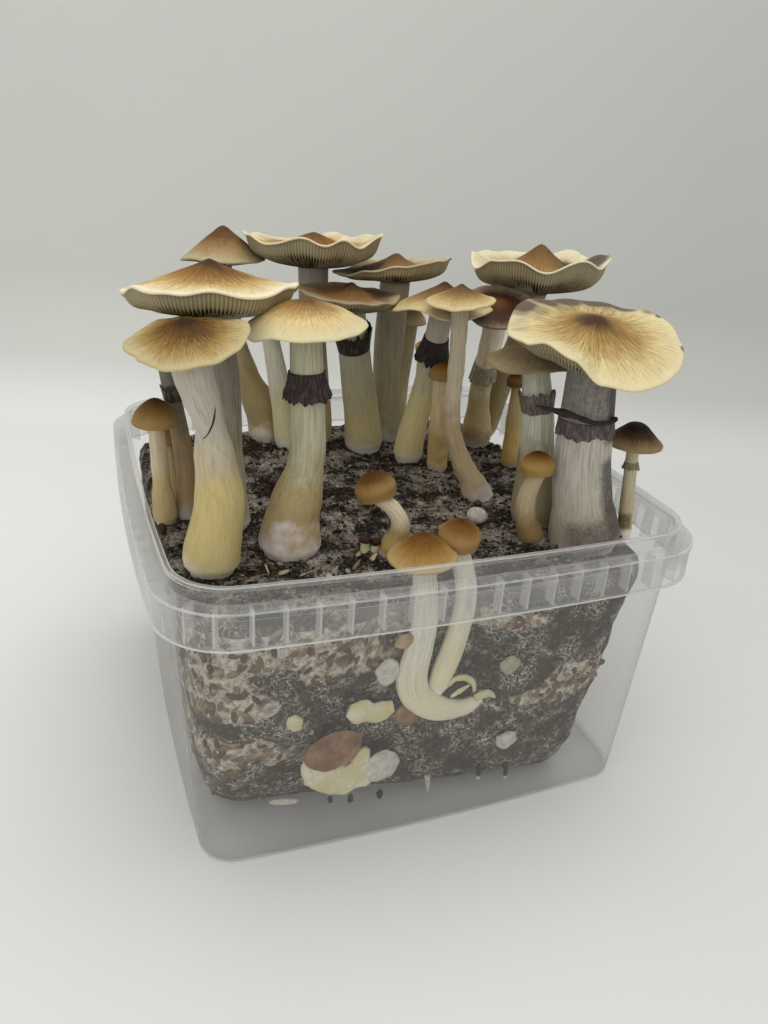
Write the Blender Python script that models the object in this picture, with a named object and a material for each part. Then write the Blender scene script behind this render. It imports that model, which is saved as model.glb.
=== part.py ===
# Mushroom grow kit: a square see-through food tub with a hanging rim skirt, a block of grown-through
# grain and dark soil standing in it, and a flush of ring-bearing mushrooms on the block.
# Every size below is in millimetres. The origin is the centre of the tub's underside, +Z is up.

import math
import random

import bmesh
import bpy
from mathutils import Vector, noise

MM = 0.001
GAP = 0.3  # left between two pieces that touch

# Tub, measured over the straight part of its sides
TUB_HEIGHT = 116.0
WALL = 1.2
FOOT_HALF = 86.2  # half the width of the underside
FOOT_RADIUS = 13.3
WALL_HALF = 92.4  # half the width of the wall just under the rim
WALL_RADIUS = 20.0
SIDE_BOW = 2.0  # how far the middle of each side bulges out
FLOOR = 3.0  # height of the floor's upper side
FOOT_ROUND = 2.0  # rounding between the underside and the wall
FLOOR_ROUND = 2.5  # the same inside the tub
LEDGE_TOP = 110.2
LEDGE_THICK = 1.3
SKIRT_HALF = 98.0
SKIRT_RADIUS = 25.3
SKIRT_BOTTOM = 97.0
BAND = 2.4  # thicker edge round the top of the skirt
BAND_PROUD = 0.35
BAND_STEP = 0.3  # height of the slope under the band
BEAD = 1.8  # height of the bead round the lip
BEAD_PROUD = 0.7
BEAD_STEP = 0.5  # height of the slope under the bead

THICK_STEM = 9.0  # radius from which a stem gets more sides
STEM_SIDES = 10
THICK_STEM_SIDES = 12
STEM_LUMPS = 0.05  # how uneven a stem is round its girth, a share of its radius

# Block of grain and soil
SOIL = 99.0  # height of the seat that the mushrooms stand on
BLOCK_BOTTOM = FLOOR + GAP
BLOCK_BOW = 1.2
FRONT_STEPS = 14  # divisions along the front face, where mushrooms press into the block
FACE_ROUGH = (-1.4, 0.2)  # how far a point of the side faces may lie in or out
SOIL_ROUGH = 7.0  # rise of the uneven soil between the mushrooms
SOIL_LUMP = 26.0  # width of one lump of soil

# Each outline is half of a cap cut through its middle, as (distance from the stem, height, how much
# of the margin's lift it takes), crown to margin, then back along the gills to the stem. Distances
# and heights are in cap radii, and heights are above the point where the stem meets the cap.
OUTLINES = {
    "cone": ([(0.00, 0.90, 0.0), (0.30, 0.70, 0.1), (0.66, 0.38, 0.4), (1.00, 0.03, 1.0)],
             [(0.70, 0.03, 0.4), (0.30, 0.00, 0.0)]),
    "dome": ([(0.00, 0.42, 0.0), (0.34, 0.35, 0.1), (0.70, 0.22, 0.5), (1.00, 0.02, 1.0)],
             [(0.72, 0.02, 0.5), (0.34, 0.00, 0.0)]),
    "flat": ([(0.00, 0.50, 0.0), (0.22, 0.36, 0.0), (0.52, 0.22, 0.2), (0.80, 0.13, 0.6), (1.00, 0.02, 1.0)],
             [(0.80, 0.01, 0.5), (0.31, 0.00, 0.0)]),
    "dish": ([(0.00, 0.56, 0.0), (0.22, 0.38, 0.0), (0.50, 0.24, 0.1), (0.80, 0.11, 0.55), (1.00, 0.02, 1.0)],
             [(0.84, 0.00, 0.5), (0.31, 0.00, 0.0)]),
    "button": ([(0.00, 1.25, 0.0), (0.55, 1.08, 0.0), (0.97, 0.62, 0.0), (1.00, 0.15, 1.0)],
               [(0.72, -0.08, 0.5), (0.46, 0.00, 0.0)]),
    "bell": ([(0.00, 1.05, 0.0), (0.48, 0.80, 0.0), (0.86, 0.38, 0.4), (1.00, 0.00, 1.0)],
             [(0.70, -0.02, 0.5), (0.38, 0.00, 0.0)]),
}

# One entry for each mushroom.
# path: centre of the stem from the soil up to the cap, x, y, z
# girth: (share of the way up, radius of the stem); a ring of veil is a short step in the girth
# cap: outline, radius, (tilt in degrees, direction that the cap faces in degrees from +X)
# margin: (direction in degrees from +X, distance from the stem, lift), both in cap radii; a level
# round margin is left out
MUSHROOMS = {
    "back_left": dict(
        path=[(-27, 75, 0), (-29, 76, 112), (-37, 77, 130), (-42, 79, 150), (-46, 80, 180)],
        girth=[(0, 7.5), (0.07, 8.8), (0.2, 8.3), (0.4, 6.0), (0.65, 4.4), (1, 3.4)],
        cap=("cone", 18.2, (0, 0)), sides=12, colour="cap_brown",
        margin=[(-150, 1.0, 0.12), (-90, 1.0, 0.08), (-30, 1.0, 0.10), (90, 1.0, 0.04), (170, 1.02, 0.04)]),
    "left_wavy": dict(
        path=[(-65, -18, 0), (-65, -18, 130), (-65, -18, 156), (-68, -18, 180)],
        girth=[(0, 8.6), (0.05, 9.6), (0.2, 8.4), (0.42, 7.0), (0.7, 6.4), (1, 5.4)],
        cap=("dish", 29.0, (0, 0)), sides=18, colour="cap_gold",
        margin=[(-168, 1.03, 0.20), (-150, 1.0, 0.31), (-120, 1.0, 0.29), (-100, 1.0, 0.36), (-72, 1.0, 0.26),
                (-45, 1.0, 0.33), (-25, 1.0, 0.32), (10, 1.0, 0.25), (50, 1.0, 0.26), (110, 1.0, 0.15),
                (150, 1.0, 0.12)]),
    "left_front": dict(
        path=[(-75, -49, 0), (-75, -49, 124), (-77, -51, 150), (-80.5, -53, 176.5)],
        girth=[(0, 7.6), (0.08, 8.8), (0.3, 6.8), (0.52, 4.8), (0.6, 5.6), (0.78, 5.2), (1, 4.2)],
        cap=("dome", 18.1, (13, 240)), sides=13, colour="cap_gold",
        margin=[(-160, 1.0, 0.12), (-110, 1.0, 0.06), (-60, 1.0, 0.12), (-20, 1.02, 0.24), (60, 1.0, 0.05),
                (150, 1.0, 0.02)]),
    "left_thin": dict(
        path=[(-77, -7, 0), (-77, -6, 120), (-79, -4, 145), (-81, -1, 164)],
        girth=[(0, 4.0), (0.1, 4.4), (0.4, 3.4), (0.76, 3.0), (0.77, 3.9), (0.84, 3.0), (1, 2.7)],
        cap=("dome", 9.0, (8, 200)), sides=9, colour="cap_brown"),
    "front_ringed": dict(
        path=[(-46, -42, 0), (-45, -42, 112), (-41, -44, 134), (-41, -44, 150), (-42, -43, 180)],
        girth=[(0, 9.6), (0.06, 11.2), (0.24, 9.0), (0.45, 6.2), (0.66, 5.9), (0.67, 8.6), (0.84, 6.3),
               (1, 5.3)],
        cap=("dome", 19.2, (4, 262)), sides=16, colour="cap_gold",
        margin=[(-170, 1.0, -0.18), (-130, 1.0, -0.02), (-60, 1.0, 0.03), (-20, 1.03, 0.04), (40, 1.0, 0.0),
                (120, 1.0, -0.08)]),
    "back_upturned": dict(
        path=[(-6, 66, 0), (-5, 66, 118), (-7, 68, 150), (-8, 69, 181.5)],
        girth=[(0, 7.0), (0.08, 7.8), (0.35, 5.8), (0.6, 5.5), (0.85, 6.6), (1, 6.8)],
        cap=("dish", 30.6, (0, 0)), crown=0.47, sides=20, colour="cap_gold",
        margin=[(-170, 1.0, 0.48), (-145, 1.0, 0.32), (-112, 1.0, 0.50), (-94, 1.0, 0.38), (-80, 1.0, 0.45),
                (-64, 1.0, 0.38), (-40, 1.0, 0.48), (-15, 1.0, 0.50), (40, 1.0, 0.33), (100, 1.0, 0.24),
                (150, 1.0, 0.38)]),
    "back_purple": dict(
        path=[(15, 52, 0), (13, 52, 115), (8, 49, 138), (1, 41, 168)],
        girth=[(0, 7.8), (0.08, 8.9), (0.35, 8.0), (0.66, 7.2), (0.67, 9.0), (0.86, 7.0), (1, 6.4)],
        cap=("flat", 22.2, (0, 0)), sides=16, colour="cap_umber",
        margin=[(-158, 1.0, 0.30), (-110, 1.0, 0.25), (-60, 0.98, 0.22), (-25, 0.94, 0.26), (20, 1.0, 0.20),
                (100, 0.90, 0.30), (150, 1.0, 0.32)]),
    "back_small": dict(
        path=[(-20, 61, 0), (-24, 62, 125), (-30, 61, 156)],
        girth=[(0, 5.2), (0.1, 6.0), (0.4, 5.0), (1, 3.8)],
        cap=("dome", 9.4, (5, 200)), sides=10, colour="cap_brown"),
    "back_grey": dict(
        path=[(32, 65, 0), (30, 65, 118), (28, 62, 140), (28, 59, 177)],
        girth=[(0, 6.0), (0.08, 7.0), (0.35, 6.4), (0.7, 7.0), (1, 6.8)],
        cap=("dish", 23.6, (0, 0)), crown=0.50, sides=16, colour="cap_umber",
        margin=[(-175, 0.94, 0.20), (-148, 1.0, 0.20), (-105, 1.0, 0.38), (-60, 1.0, 0.46), (-25, 1.04, 0.46),
                (40, 1.0, 0.28), (100, 0.96, 0.22), (145, 0.84, 0.16)]),
    "middle_ringed": dict(
        path=[(30, 34, 0), (31, 33, 112), (35, 30, 138), (34, 18, 173)],
        girth=[(0, 5.6), (0.08, 6.8), (0.35, 5.9), (0.58, 5.4), (0.59, 7.2), (0.76, 5.4), (1, 4.8)],
        cap=("dome", 20.8, (0, 0)), sides=13, colour="cap_gold",
        margin=[(160, 1.02, -0.14), (-145, 1.0, 0.04), (-105, 1.0, -0.10), (-50, 1.0, 0.02),
                (25, 0.92, -0.02), (90, 1.0, -0.05)]),
    "tall_thin": dict(
        path=[(45, -15, 0), (40, -12, 107), (35, -9, 117), (31, -7, 132), (31, -6, 160), (30, -6, 180)],
        girth=[(0, 5.6), (0.06, 6.2), (0.16, 4.6), (0.3, 3.9), (0.6, 3.3), (1, 3.3)],
        cap=("dome", 13.3, (0, 0)), sides=12, colour="cap_gold",
        margin=[(170, 1.0, -0.10), (-125, 1.0, -0.13), (-70, 1.0, 0.0), (-25, 1.02, 0.08), (60, 1.0, 0.0)]),
    "young_middle": dict(
        path=[(39, 19, 0), (37, 17, 115), (34, 12.5, 145)],
        girth=[(0, 3.8), (0.1, 4.5), (0.5, 4.1), (1, 3.5)],
        cap=("bell", 6.0, (4, 255)), sides=10, colour="cap_amber"),
    "young_back": dict(
        path=[(42, 71, 0), (40, 71, 115), (43, 72, 155)],
        girth=[(0, 2.8), (0.1, 3.3), (0.5, 3.0), (1, 3.4)],
        cap=("bell", 7.3, (3, 255)), sides=10, colour="cap_gold"),
    "thin_back": dict(
        path=[(57, 84, 0), (56, 85, 115), (57, 89, 137)],
        girth=[(0, 2.0), (0.12, 2.5), (0.5, 2.2), (1, 1.8)],
        cap=("button", 3.4, (0, 0)), sides=8, colour="cap_amber"),
    "dark_tilted": dict(
        path=[(73, 47, 0), (71, 46, 122), (70, 42, 140), (62.5, 22, 169)],
        girth=[(0, 6.0), (0.1, 7.2), (0.3, 5.2), (0.52, 5.0), (0.53, 6.4), (0.7, 5.6), (1, 5.2)],
        cap=("dish", 15.8, (24, 238)), crown=0.42, sides=14, colour="cap_umber",
        margin=[(-150, 1.0, 0.22), (-90, 1.0, 0.20), (0, 0.96, 0.26), (50, 0.94, 0.24), (110, 1.0, 0.26),
                (165, 0.84, 0.20)]),
    "right_umbo": dict(
        path=[(81, 61, 0), (83, 53, 120), (87, 46, 148), (90, 39, 176)],
        girth=[(0, 6.2), (0.1, 7.2), (0.35, 6.0), (0.7, 4.8), (1, 5.4)],
        cap=("dish", 31.0, (0, 0)), sides=20, colour="cap_gold",
        margin=[(174, 1.0, 0.26), (-160, 1.0, 0.45), (-143, 1.0, 0.49), (-112, 1.0, 0.37), (-87, 1.0, 0.55),
                (-65, 1.0, 0.45), (-40, 1.0, 0.52), (-8, 1.0, 0.52), (12, 1.0, 0.42), (28, 1.0, 0.49),
                (60, 1.0, 0.38), (110, 1.0, 0.40), (150, 1.0, 0.42)]),
    "right_big": dict(
        path=[(66, -62, 0), (63, -61, 112), (60, -59, 135), (59, -57, 172)],
        girth=[(0, 11.6), (0.07, 13.2), (0.3, 11.0), (0.52, 10.2), (0.53, 10.9), (0.62, 10.0), (1, 8.4)],
        cap=("flat", 31.0, (14, 258)), sides=20, colour="cap_gold",
        margin=[(-173, 1.0, 0.22), (-155, 1.0, 0.37), (-138, 1.0, 0.31), (-118, 1.0, 0.11), (-90, 1.0, 0.06),
                (-60, 0.94, 0.10), (-20, 0.93, 0.18), (10, 0.95, 0.24), (50, 1.0, 0.16), (90, 1.0, 0.14),
                (125, 1.0, 0.24), (160, 1.01, 0.10)]),
    "young_right": dict(
        path=[(77, 18, 0), (76, 19, 118), (75, 20, 137)],
        girth=[(0, 4.2), (0.12, 4.8), (0.5, 3.8), (1, 2.0)],
        cap=("button", 4.7, (0, 0)), sides=10, colour="cap_amber"),
    "right_middle": dict(
        path=[(55, -41, 0), (54, -39, 118), (54, -35, 140), (52, -31, 161)],
        girth=[(0, 7.4), (0.1, 8.8), (0.4, 7.2), (0.6, 6.4), (0.61, 7.4), (0.78, 5.8), (1, 5.2)],
        cap=("dome", 18.8, (0, 0)), sides=12, colour="cap_umber",
        margin=[(160, 1.0, 0.0), (-150, 1.0, -0.04), (-110, 0.86, 0.06), (-80, 0.80, 0.06), (-50, 0.90, 0.02),
                (60, 1.0, 0.05)]),
    "button_right": dict(
        path=[(47, -57, 0), (42, -56, 108), (40, -57, 117), (40, -60, 126)],
        girth=[(0, 4.2), (0.15, 4.9), (0.4, 3.8), (1, 3.0)],
        cap=("button", 6.4, (6, 140)), sides=10, colour="cap_amber"),
    "small_dark": dict(
        path=[(85.5, -60, 0), (84.5, -59, 112), (82.8, -58, 135.5)],
        girth=[(0, 2.4), (0.15, 2.8), (0.7, 2.4), (0.71, 3.2), (0.8, 2.4), (1, 2.3)],
        cap=("bell", 9.0, (3, 250)), sides=11, colour="cap_umber"),
    "button_left": dict(
        path=[(-85, -9, 0), (-86, -10, 112), (-87.5, -15, 141)],
        girth=[(0, 4.0), (0.12, 4.6), (0.5, 3.2), (1, 2.7)],
        cap=("bell", 8.1, (4, 260)), sides=11, colour="cap_amber"),
    "button_left_back": dict(
        path=[(-79, 8, 0), (-80, 9, 112), (-81, 9, 125)],
        girth=[(0, 3.8), (0.15, 4.4), (0.6, 2.9), (1, 2.5)],
        cap=("bell", 7.0, (3, 30)), sides=10, colour="cap_amber"),
    "button_front": dict(
        path=[(-12, -52, 0), (-9, -53, 105), (-8.5, -54, 111), (-11, -53, 117), (-14, -51.5, 121)],
        girth=[(0, 4.0), (0.15, 4.7), (0.4, 3.6), (0.7, 2.9), (1, 2.8)],
        cap=("button", 7.0, (18, 150)), sides=11, colour="cap_amber"),
}

# Mushrooms that grew out of the block's front face and up between it and the wall; foot is the way
# that each one leaves the face, and flat how far its stem is squashed from front to back
EDGE_MUSHROOMS = {
    "edge_golden": dict(
        path=[(15.5, -85.2, 52.5), (8, -85.6, 50.3), (-2, -86.2, 52.5), (-10.5, -86.4, 59),
              (-13.6, -86.2, 68), (-11.8, -86.2, 80), (-10.8, -86, 92), (-11.2, -84, 101),
              (-12, -81, 107.5)],
        girth=[(0, 1.8), (0.07, 3.2), (0.25, 4.6), (0.45, 5.2), (0.65, 4.7), (0.85, 4.6), (1, 4.0)],
        foot=(-1, 0, 0), cap=("bell", 10.6, (4, 200)), flat=0.52, sides=12, colour="cap_amber"),
    "edge_round": dict(
        path=[(-0.5, -84.6, 64.5), (1.5, -85, 74), (3.6, -85, 85), (4.8, -84.6, 97), (4.8, -81, 106),
              (4.6, -77, 113)],
        girth=[(0, 3.0), (0.2, 4.2), (0.5, 4.2), (0.8, 3.9), (1, 3.2)],
        foot=(0, 0, 1), cap=("button", 7.2, (8, 250)), flat=0.6, sides=12, colour="cap_amber"),
}

PRESSED_Y = -85.0  # middle of the mushrooms that are pressed flat against the front wall
PRESSED_THICK = 1.9
PRESSED_SIDES = 8
CAP_SIDES = 10
# Sections of a pressed cap from the wall inwards: (share of its half depth, share of its width)
PRESSED_CAP = [(0.98, 0.20), (0.55, 0.84), (-0.3, 1.0), (-0.9, 0.44)]
# One entry for each: stem as (x, z, half width), middle of the cap as x, z, half sizes of the cap
PRESSED = {
    "pressed": ([(-50.5, 36, 2.0), (-49, 30, 5), (-43, 25.5, 5.4), (-34, 24, 5.2), (-26, 26.5, 6.2),
                 (-18.5, 28, 3.5)], (-41, 41.5), (9.4, 1.9, 6.6)),
    "flattened": ([(-35.5, 60, 2.0), (-31, 57, 3.2), (-25, 55.2, 3.0), (-19.5, 56, 2.4)],
                  (-13.4, 51.0), (4.2, 1.7, 3.4)),
}

# Hollows that these press into the block's front face: x, z, half width, half height, depth
FRONT_FACE = -60.0  # the face's points lie in front of this
HOLLOW_FLAT = 1.8  # how much of a hollow lies at its full depth
FRONT_HOLLOWS = [
    (-12, 92, 13, 22, 6.5),
    (6, 92, 13, 24, 8.5),
    (-2, 62, 22, 20, 7.5),
    (-34, 30, 26, 17, 6.0),
    (-27, 56, 20, 12, 5.0),
]

# Small lumps on the soil: centre, half sizes
PINS = {
    "dark_pin": ((-39.5, 7, SOIL + GAP + 3.4), (2.8, 2.8, 4.2)),
    "white_pin": ((33, -35, SOIL + GAP + 2.3), (3.4, 3.4, 2.9)),
}
LUMP_SIDES = 8
LUMP_HEIGHTS = (-0.8, -0.35, 0.2, 0.7)  # of its rings, in half heights
LEVEL_ROUND = 18.0  # the soil is level this far round each foot

COLOURS = {
    "tub": (0.80, 0.81, 0.80, 0.30),
    "soil": (0.10, 0.075, 0.055, 1.0),
    "stem": (0.62, 0.57, 0.44, 1.0),
    "cap_gold": (0.62, 0.42, 0.17, 1.0),
    "cap_brown": (0.36, 0.20, 0.08, 1.0),
    "cap_amber": (0.42, 0.19, 0.05, 1.0),
    "cap_umber": (0.20, 0.12, 0.08, 1.0),
    "pin": (0.60, 0.55, 0.48, 1.0),
}


def clear_scene():
    for thing in list(bpy.data.objects):
        bpy.data.objects.remove(thing)


def material(name, roughness):
    mat = bpy.data.materials.get(name)
    if mat is None:
        mat = bpy.data.materials.new(name)
        mat.use_nodes = True
        shader = mat.node_tree.nodes["Principled BSDF"]
        shader.inputs["Base Color"].default_value = COLOURS[name][:3] + (1.0,)
        shader.inputs["Alpha"].default_value = COLOURS[name][3]
        shader.inputs["Roughness"].default_value = roughness
        shader.inputs["Metallic"].default_value = 0.0
    return mat


def add_object(name, bm, colour, roughness=0.6, sharp=40):
    mesh = bpy.data.meshes.new(name)
    bmesh.ops.recalc_face_normals(bm, faces=bm.faces)
    bm.to_mesh(mesh)
    bm.free()
    mesh.shade_smooth()
    mesh.set_sharp_from_angle(angle=math.radians(sharp))
    mesh.materials.append(material(colour, roughness))
    thing = bpy.data.objects.new(name, mesh)
    bpy.context.collection.objects.link(thing)
    return thing


def skin(name, rings, colour, first=None, last=None, roughness=0.6):
    """Closed skin over rings of points that all have the same count, from the first end to the last."""
    bm = bmesh.new()
    loops = [[bm.verts.new(Vector(p) * MM) for p in ring] for ring in rings]
    count = len(rings[0])
    for low, high in zip(loops, loops[1:]):
        for i in range(count):
            j = (i + 1) % count
            bm.faces.new((low[i], low[j], high[j], high[i]))
    for loop, tip in ((loops[0], first), (loops[-1], last)):
        middle = sum((v.co for v in loop), Vector()) / count if tip is None else Vector(tip) * MM
        centre = bm.verts.new(middle)
        for i in range(count):
            bm.faces.new((loop[i], loop[(i + 1) % count], centre))
    bmesh.ops.triangulate(bm, faces=[f for f in bm.faces if len(f.verts) > 3])
    return add_object(name, bm, colour, roughness)


def rounded_ring(x0, x1, y0, y1, radius, z, bow, corner_steps=3, side_steps=(4, 4, 4, 4)):
    """Points of a rectangle with round corners and sides that bulge out by bow at their middle."""
    corners = [(x1 - radius, y0 + radius, -90), (x1 - radius, y1 - radius, 0),
               (x0 + radius, y1 - radius, 90), (x0 + radius, y0 + radius, 180)]
    points = []
    for n, (cx, cy, start) in enumerate(corners):
        for k in range(corner_steps + 1):
            turn = math.radians(start + 90 * k / corner_steps)
            points.append(Vector((cx + radius * math.cos(turn), cy + radius * math.sin(turn), z)))
        nx, ny, begin = corners[(n + 1) % 4]
        begin = math.radians(begin)
        end = Vector((nx + radius * math.cos(begin), ny + radius * math.sin(begin), z))
        run = end - points[-1]
        out = Vector((run.y, -run.x, 0)).normalized()
        start_point = points[-1]
        for k in range(1, side_steps[n]):
            share = k / side_steps[n]
            points.append(start_point + run * share + out * bow * 4 * share * (1 - share))
    return points


def square_ring(half, radius, z, bow=SIDE_BOW):
    return rounded_ring(-half, half, -half, half, radius, z, bow)


def wall_half(z):
    """Half the width of the tub's outer wall at a height, over the straight part of its sides."""
    return FOOT_HALF + (WALL_HALF - FOOT_HALF) * (z - FOOT_ROUND) / (LEDGE_TOP - FOOT_ROUND)


def make_tub():
    under = LEDGE_TOP - LEDGE_THICK
    band_bottom = LEDGE_TOP - BAND
    skirt_in = SKIRT_HALF - WALL
    bead_bottom = TUB_HEIGHT - BEAD
    round_top = FLOOR + FLOOR_ROUND
    rings = [
        square_ring(FOOT_HALF - FOOT_ROUND, FOOT_RADIUS - FOOT_ROUND, 0),
        square_ring(FOOT_HALF, FOOT_RADIUS, FOOT_ROUND),
        square_ring(wall_half(under), WALL_RADIUS, under),
        square_ring(skirt_in, SKIRT_RADIUS - WALL, under),
        square_ring(skirt_in, SKIRT_RADIUS - WALL, SKIRT_BOTTOM),
        square_ring(SKIRT_HALF, SKIRT_RADIUS, SKIRT_BOTTOM),
        square_ring(SKIRT_HALF, SKIRT_RADIUS, band_bottom),
        square_ring(SKIRT_HALF + BAND_PROUD, SKIRT_RADIUS, band_bottom + BAND_STEP),
        square_ring(SKIRT_HALF + BAND_PROUD, SKIRT_RADIUS, LEDGE_TOP),
        square_ring(WALL_HALF, WALL_RADIUS, LEDGE_TOP),
        square_ring(WALL_HALF, WALL_RADIUS, bead_bottom),
        square_ring(WALL_HALF + BEAD_PROUD, WALL_RADIUS, bead_bottom + BEAD_STEP),
        square_ring(WALL_HALF + BEAD_PROUD, WALL_RADIUS, TUB_HEIGHT),
        square_ring(WALL_HALF - WALL, WALL_RADIUS - WALL, TUB_HEIGHT),
        square_ring(wall_half(round_top) - WALL, FOOT_RADIUS, round_top),
        square_ring(wall_half(FLOOR) - WALL - FLOOR_ROUND, FOOT_RADIUS - FLOOR_ROUND, FLOOR),
    ]
    skin("tub", rings, "tub", roughness=0.25)


def make_block():
    """The block fills the tub near its top and has shrunk away from the wall lower down."""
    rng = random.Random(7)
    # height, front, right, left, back face, corner radius
    levels = [
        (BLOCK_BOTTOM, -60, 58, -66, 78, 24),
        (10, -71, 63, -75, 82, 24),
        (21, -80, 66, -82.5, 84, 22),
        (38, -84.5, 70, -85.5, 85, 18),
        (58, -86, 75, -86.5, 86, 18),
        (78, -87, 81, -87.5, 87, 19),
        (93, -88, 86, -88.5, 88, 19),
        (SOIL - 1.5, -86.5, 86, -88, 87, 19),
    ]
    rings = []
    for z, front, right, left, back, radius in levels:
        ring = rounded_ring(left, right, front, back, radius, z, BLOCK_BOW, side_steps=(4, 4, 4, FRONT_STEPS))
        for p in ring:
            rough = rng.uniform(*FACE_ROUGH) if BLOCK_BOTTOM < z < levels[-1][0] else 0
            p += Vector((p.x, p.y, 0)).normalized() * rough
            p.y += front_hollow(p)
        rings.append(ring)
    rim = rings[-1]
    for scale in (0.965, 0.82, 0.62, 0.42, 0.2):
        ring = []
        for p in rim:
            q = Vector((p.x * scale, p.y * scale, SOIL))
            q.z += soil_bump(q)
            ring.append(q)
        rings.append(ring)
    skin("substrate", rings, "soil", last=(0, 0, SOIL), roughness=0.95)


def front_hollow(point):
    """How far the front face is pushed back where edge mushrooms press on it."""
    if point.y > FRONT_FACE:
        return 0.0
    push = 0.0
    for x, z, half_width, half_height, depth in FRONT_HOLLOWS:
        reach = ((point.x - x) / half_width) ** 2 + ((point.z - z) / half_height) ** 2
        push = max(push, depth * min(1.0, HOLLOW_FLAT * math.exp(-reach)))
    return push


def soil_bump(point):
    """Uneven soil between the mushrooms, level where one stands."""
    bump = SOIL_ROUGH * noise.noise(point / SOIL_LUMP)
    seats = [(spec["path"][0], spec["girth"][1][1]) for spec in MUSHROOMS.values()]
    seats += [(place, sizes[0]) for place, sizes in PINS.values()]
    for place, radius in seats:
        if (Vector(place[:2]) - point.xy).length < radius + LEVEL_ROUND:
            bump = 0.0
    return bump


def along_path(points, share):
    """Place and direction on a smooth curve through the points, share of its length from 0 to 1."""
    lengths = [0.0]
    for a, b in zip(points, points[1:]):
        lengths.append(lengths[-1] + (b - a).length)
    want = share * lengths[-1]
    n = 0
    while n < len(points) - 2 and lengths[n + 1] < want:
        n += 1
    t = (want - lengths[n]) / (lengths[n + 1] - lengths[n])
    b = points[n]
    c = points[n + 1]
    a = points[n - 1] if n > 0 else b * 2 - c
    d = points[n + 2] if n + 2 < len(points) else c * 2 - b
    square = 2 * a - 5 * b + 4 * c - d
    cube = 3 * b - a - 3 * c + d
    place = 0.5 * (2 * b + (c - a) * t + square * t ** 2 + cube * t ** 3)
    slope = 0.5 * ((c - a) + 2 * square * t + 3 * cube * t ** 2)
    return place, slope.normalized()


def section(centre, normal, radius, sides, lumps, flat=1.0):
    """Ring of points square to the stem; flat squashes it from front to back."""
    first = Vector((1, 0, 0))
    first = (first - normal * first.dot(normal)).normalized()
    second = normal.cross(first)
    ring = []
    for i in range(sides):
        turn = 2 * math.pi * i / sides
        r = radius * (1 + lumps[i])
        ring.append(centre + first * r * math.cos(turn) + second * r * math.sin(turn) * flat)
    return ring


def tilt_axis(tilt, heading):
    """Axis of a cap that leans by tilt degrees towards a heading in degrees from +X."""
    lean = math.radians(tilt)
    way = math.radians(heading)
    return Vector((math.sin(lean) * math.cos(way), math.sin(lean) * math.sin(way), math.cos(lean)))


def make_stem(name, spec, foot_normal=None):
    tilt, heading = spec["cap"][2]
    axis = tilt_axis(tilt, heading)
    points = [Vector(p) for p in spec["path"]]
    if foot_normal is None:
        points[0].z = SOIL + GAP
    points[-1] = points[-1] - axis * GAP
    thick = max(r for _, r in spec["girth"]) > THICK_STEM
    sides = THICK_STEM_SIDES if thick else STEM_SIDES
    rng = random.Random(name)
    lumps = [rng.uniform(-STEM_LUMPS, STEM_LUMPS) for _ in range(sides)]
    rings = []
    for share, girth in spec["girth"]:
        place, way = along_path(points, share)
        if share == 0:
            way = foot_normal or Vector((0, 0, 1))
        if share == 1:
            way = axis
        rings.append(section(place, way, girth, sides, lumps, spec.get("flat", 1.0)))
    skin(name + "_stem", rings, "stem", roughness=0.7)


def margin_at(margin, direction):
    """Distance from the stem and lift of a cap's margin, smooth between the directions that are listed."""
    if not margin:
        return 1.0, 0.0
    marks = sorted((angle % 360, far, lift) for angle, far, lift in margin)
    direction %= 360
    after = next((n for n, mark in enumerate(marks) if mark[0] > direction), 0)
    start = marks[after - 1]
    end = marks[after]
    share = ((direction - start[0]) % 360) / ((end[0] - start[0]) % 360)
    ease = share * share * (3 - 2 * share)
    return start[1] + (end[1] - start[1]) * ease, start[2] + (end[2] - start[2]) * ease


def make_cap(name, spec):
    kind, radius, (tilt, heading) = spec["cap"]
    axis = tilt_axis(tilt, heading)
    hub = Vector(spec["path"][-1])
    turn = Vector((0, 0, 1)).rotation_difference(axis)
    upper, gills = OUTLINES[kind]
    sides = spec["sides"]
    rings = []
    for out, height, share in upper[1:] + gills:
        ring = []
        for i in range(sides):
            angle = 360 * i / sides
            far, lift = margin_at(spec.get("margin"), angle)
            reach = out * (1 + (far - 1) * out) * radius
            rise = (height + lift * share) * radius
            way = math.radians(angle)
            ring.append(hub + turn @ Vector((reach * math.cos(way), reach * math.sin(way), rise)))
        rings.append(ring)
    crown = hub + axis * spec.get("crown", upper[0][1]) * radius
    skin(name + "_cap", rings, spec["colour"], first=crown, last=hub, roughness=0.5)


def flat_ring(centre, half_x, half_y, z):
    """Ring of points round a lump of soil or a pin, level with the ground."""
    ring = []
    for i in range(LUMP_SIDES):
        turn = 2 * math.pi * i / LUMP_SIDES
        ring.append(Vector((centre[0] + half_x * math.cos(turn), centre[1] + half_y * math.sin(turn), z)))
    return ring


def make_lump(name, centre, sizes, colour):
    """Egg-shaped lump of half sizes x, y, z with a flat underside."""
    rings = []
    for height in LUMP_HEIGHTS:
        r = math.sqrt(1 - height * height)
        rings.append(flat_ring(centre, sizes[0] * r, sizes[1] * r, centre[2] + sizes[2] * height))
    skin(name, rings, colour, last=Vector(centre) + Vector((0, 0, sizes[2])))


def pressed_ring(x, z, half_x, half_z, y, sides, half_y=0.0):
    """Ring of points that stands upright; half_y gives it depth where it goes round a stem."""
    ring = []
    for i in range(sides):
        turn = 2 * math.pi * i / sides
        ring.append(Vector((x + half_x * math.sin(turn), y + half_y * math.sin(turn),
                            z + half_z * math.cos(turn))))
    return ring


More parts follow.
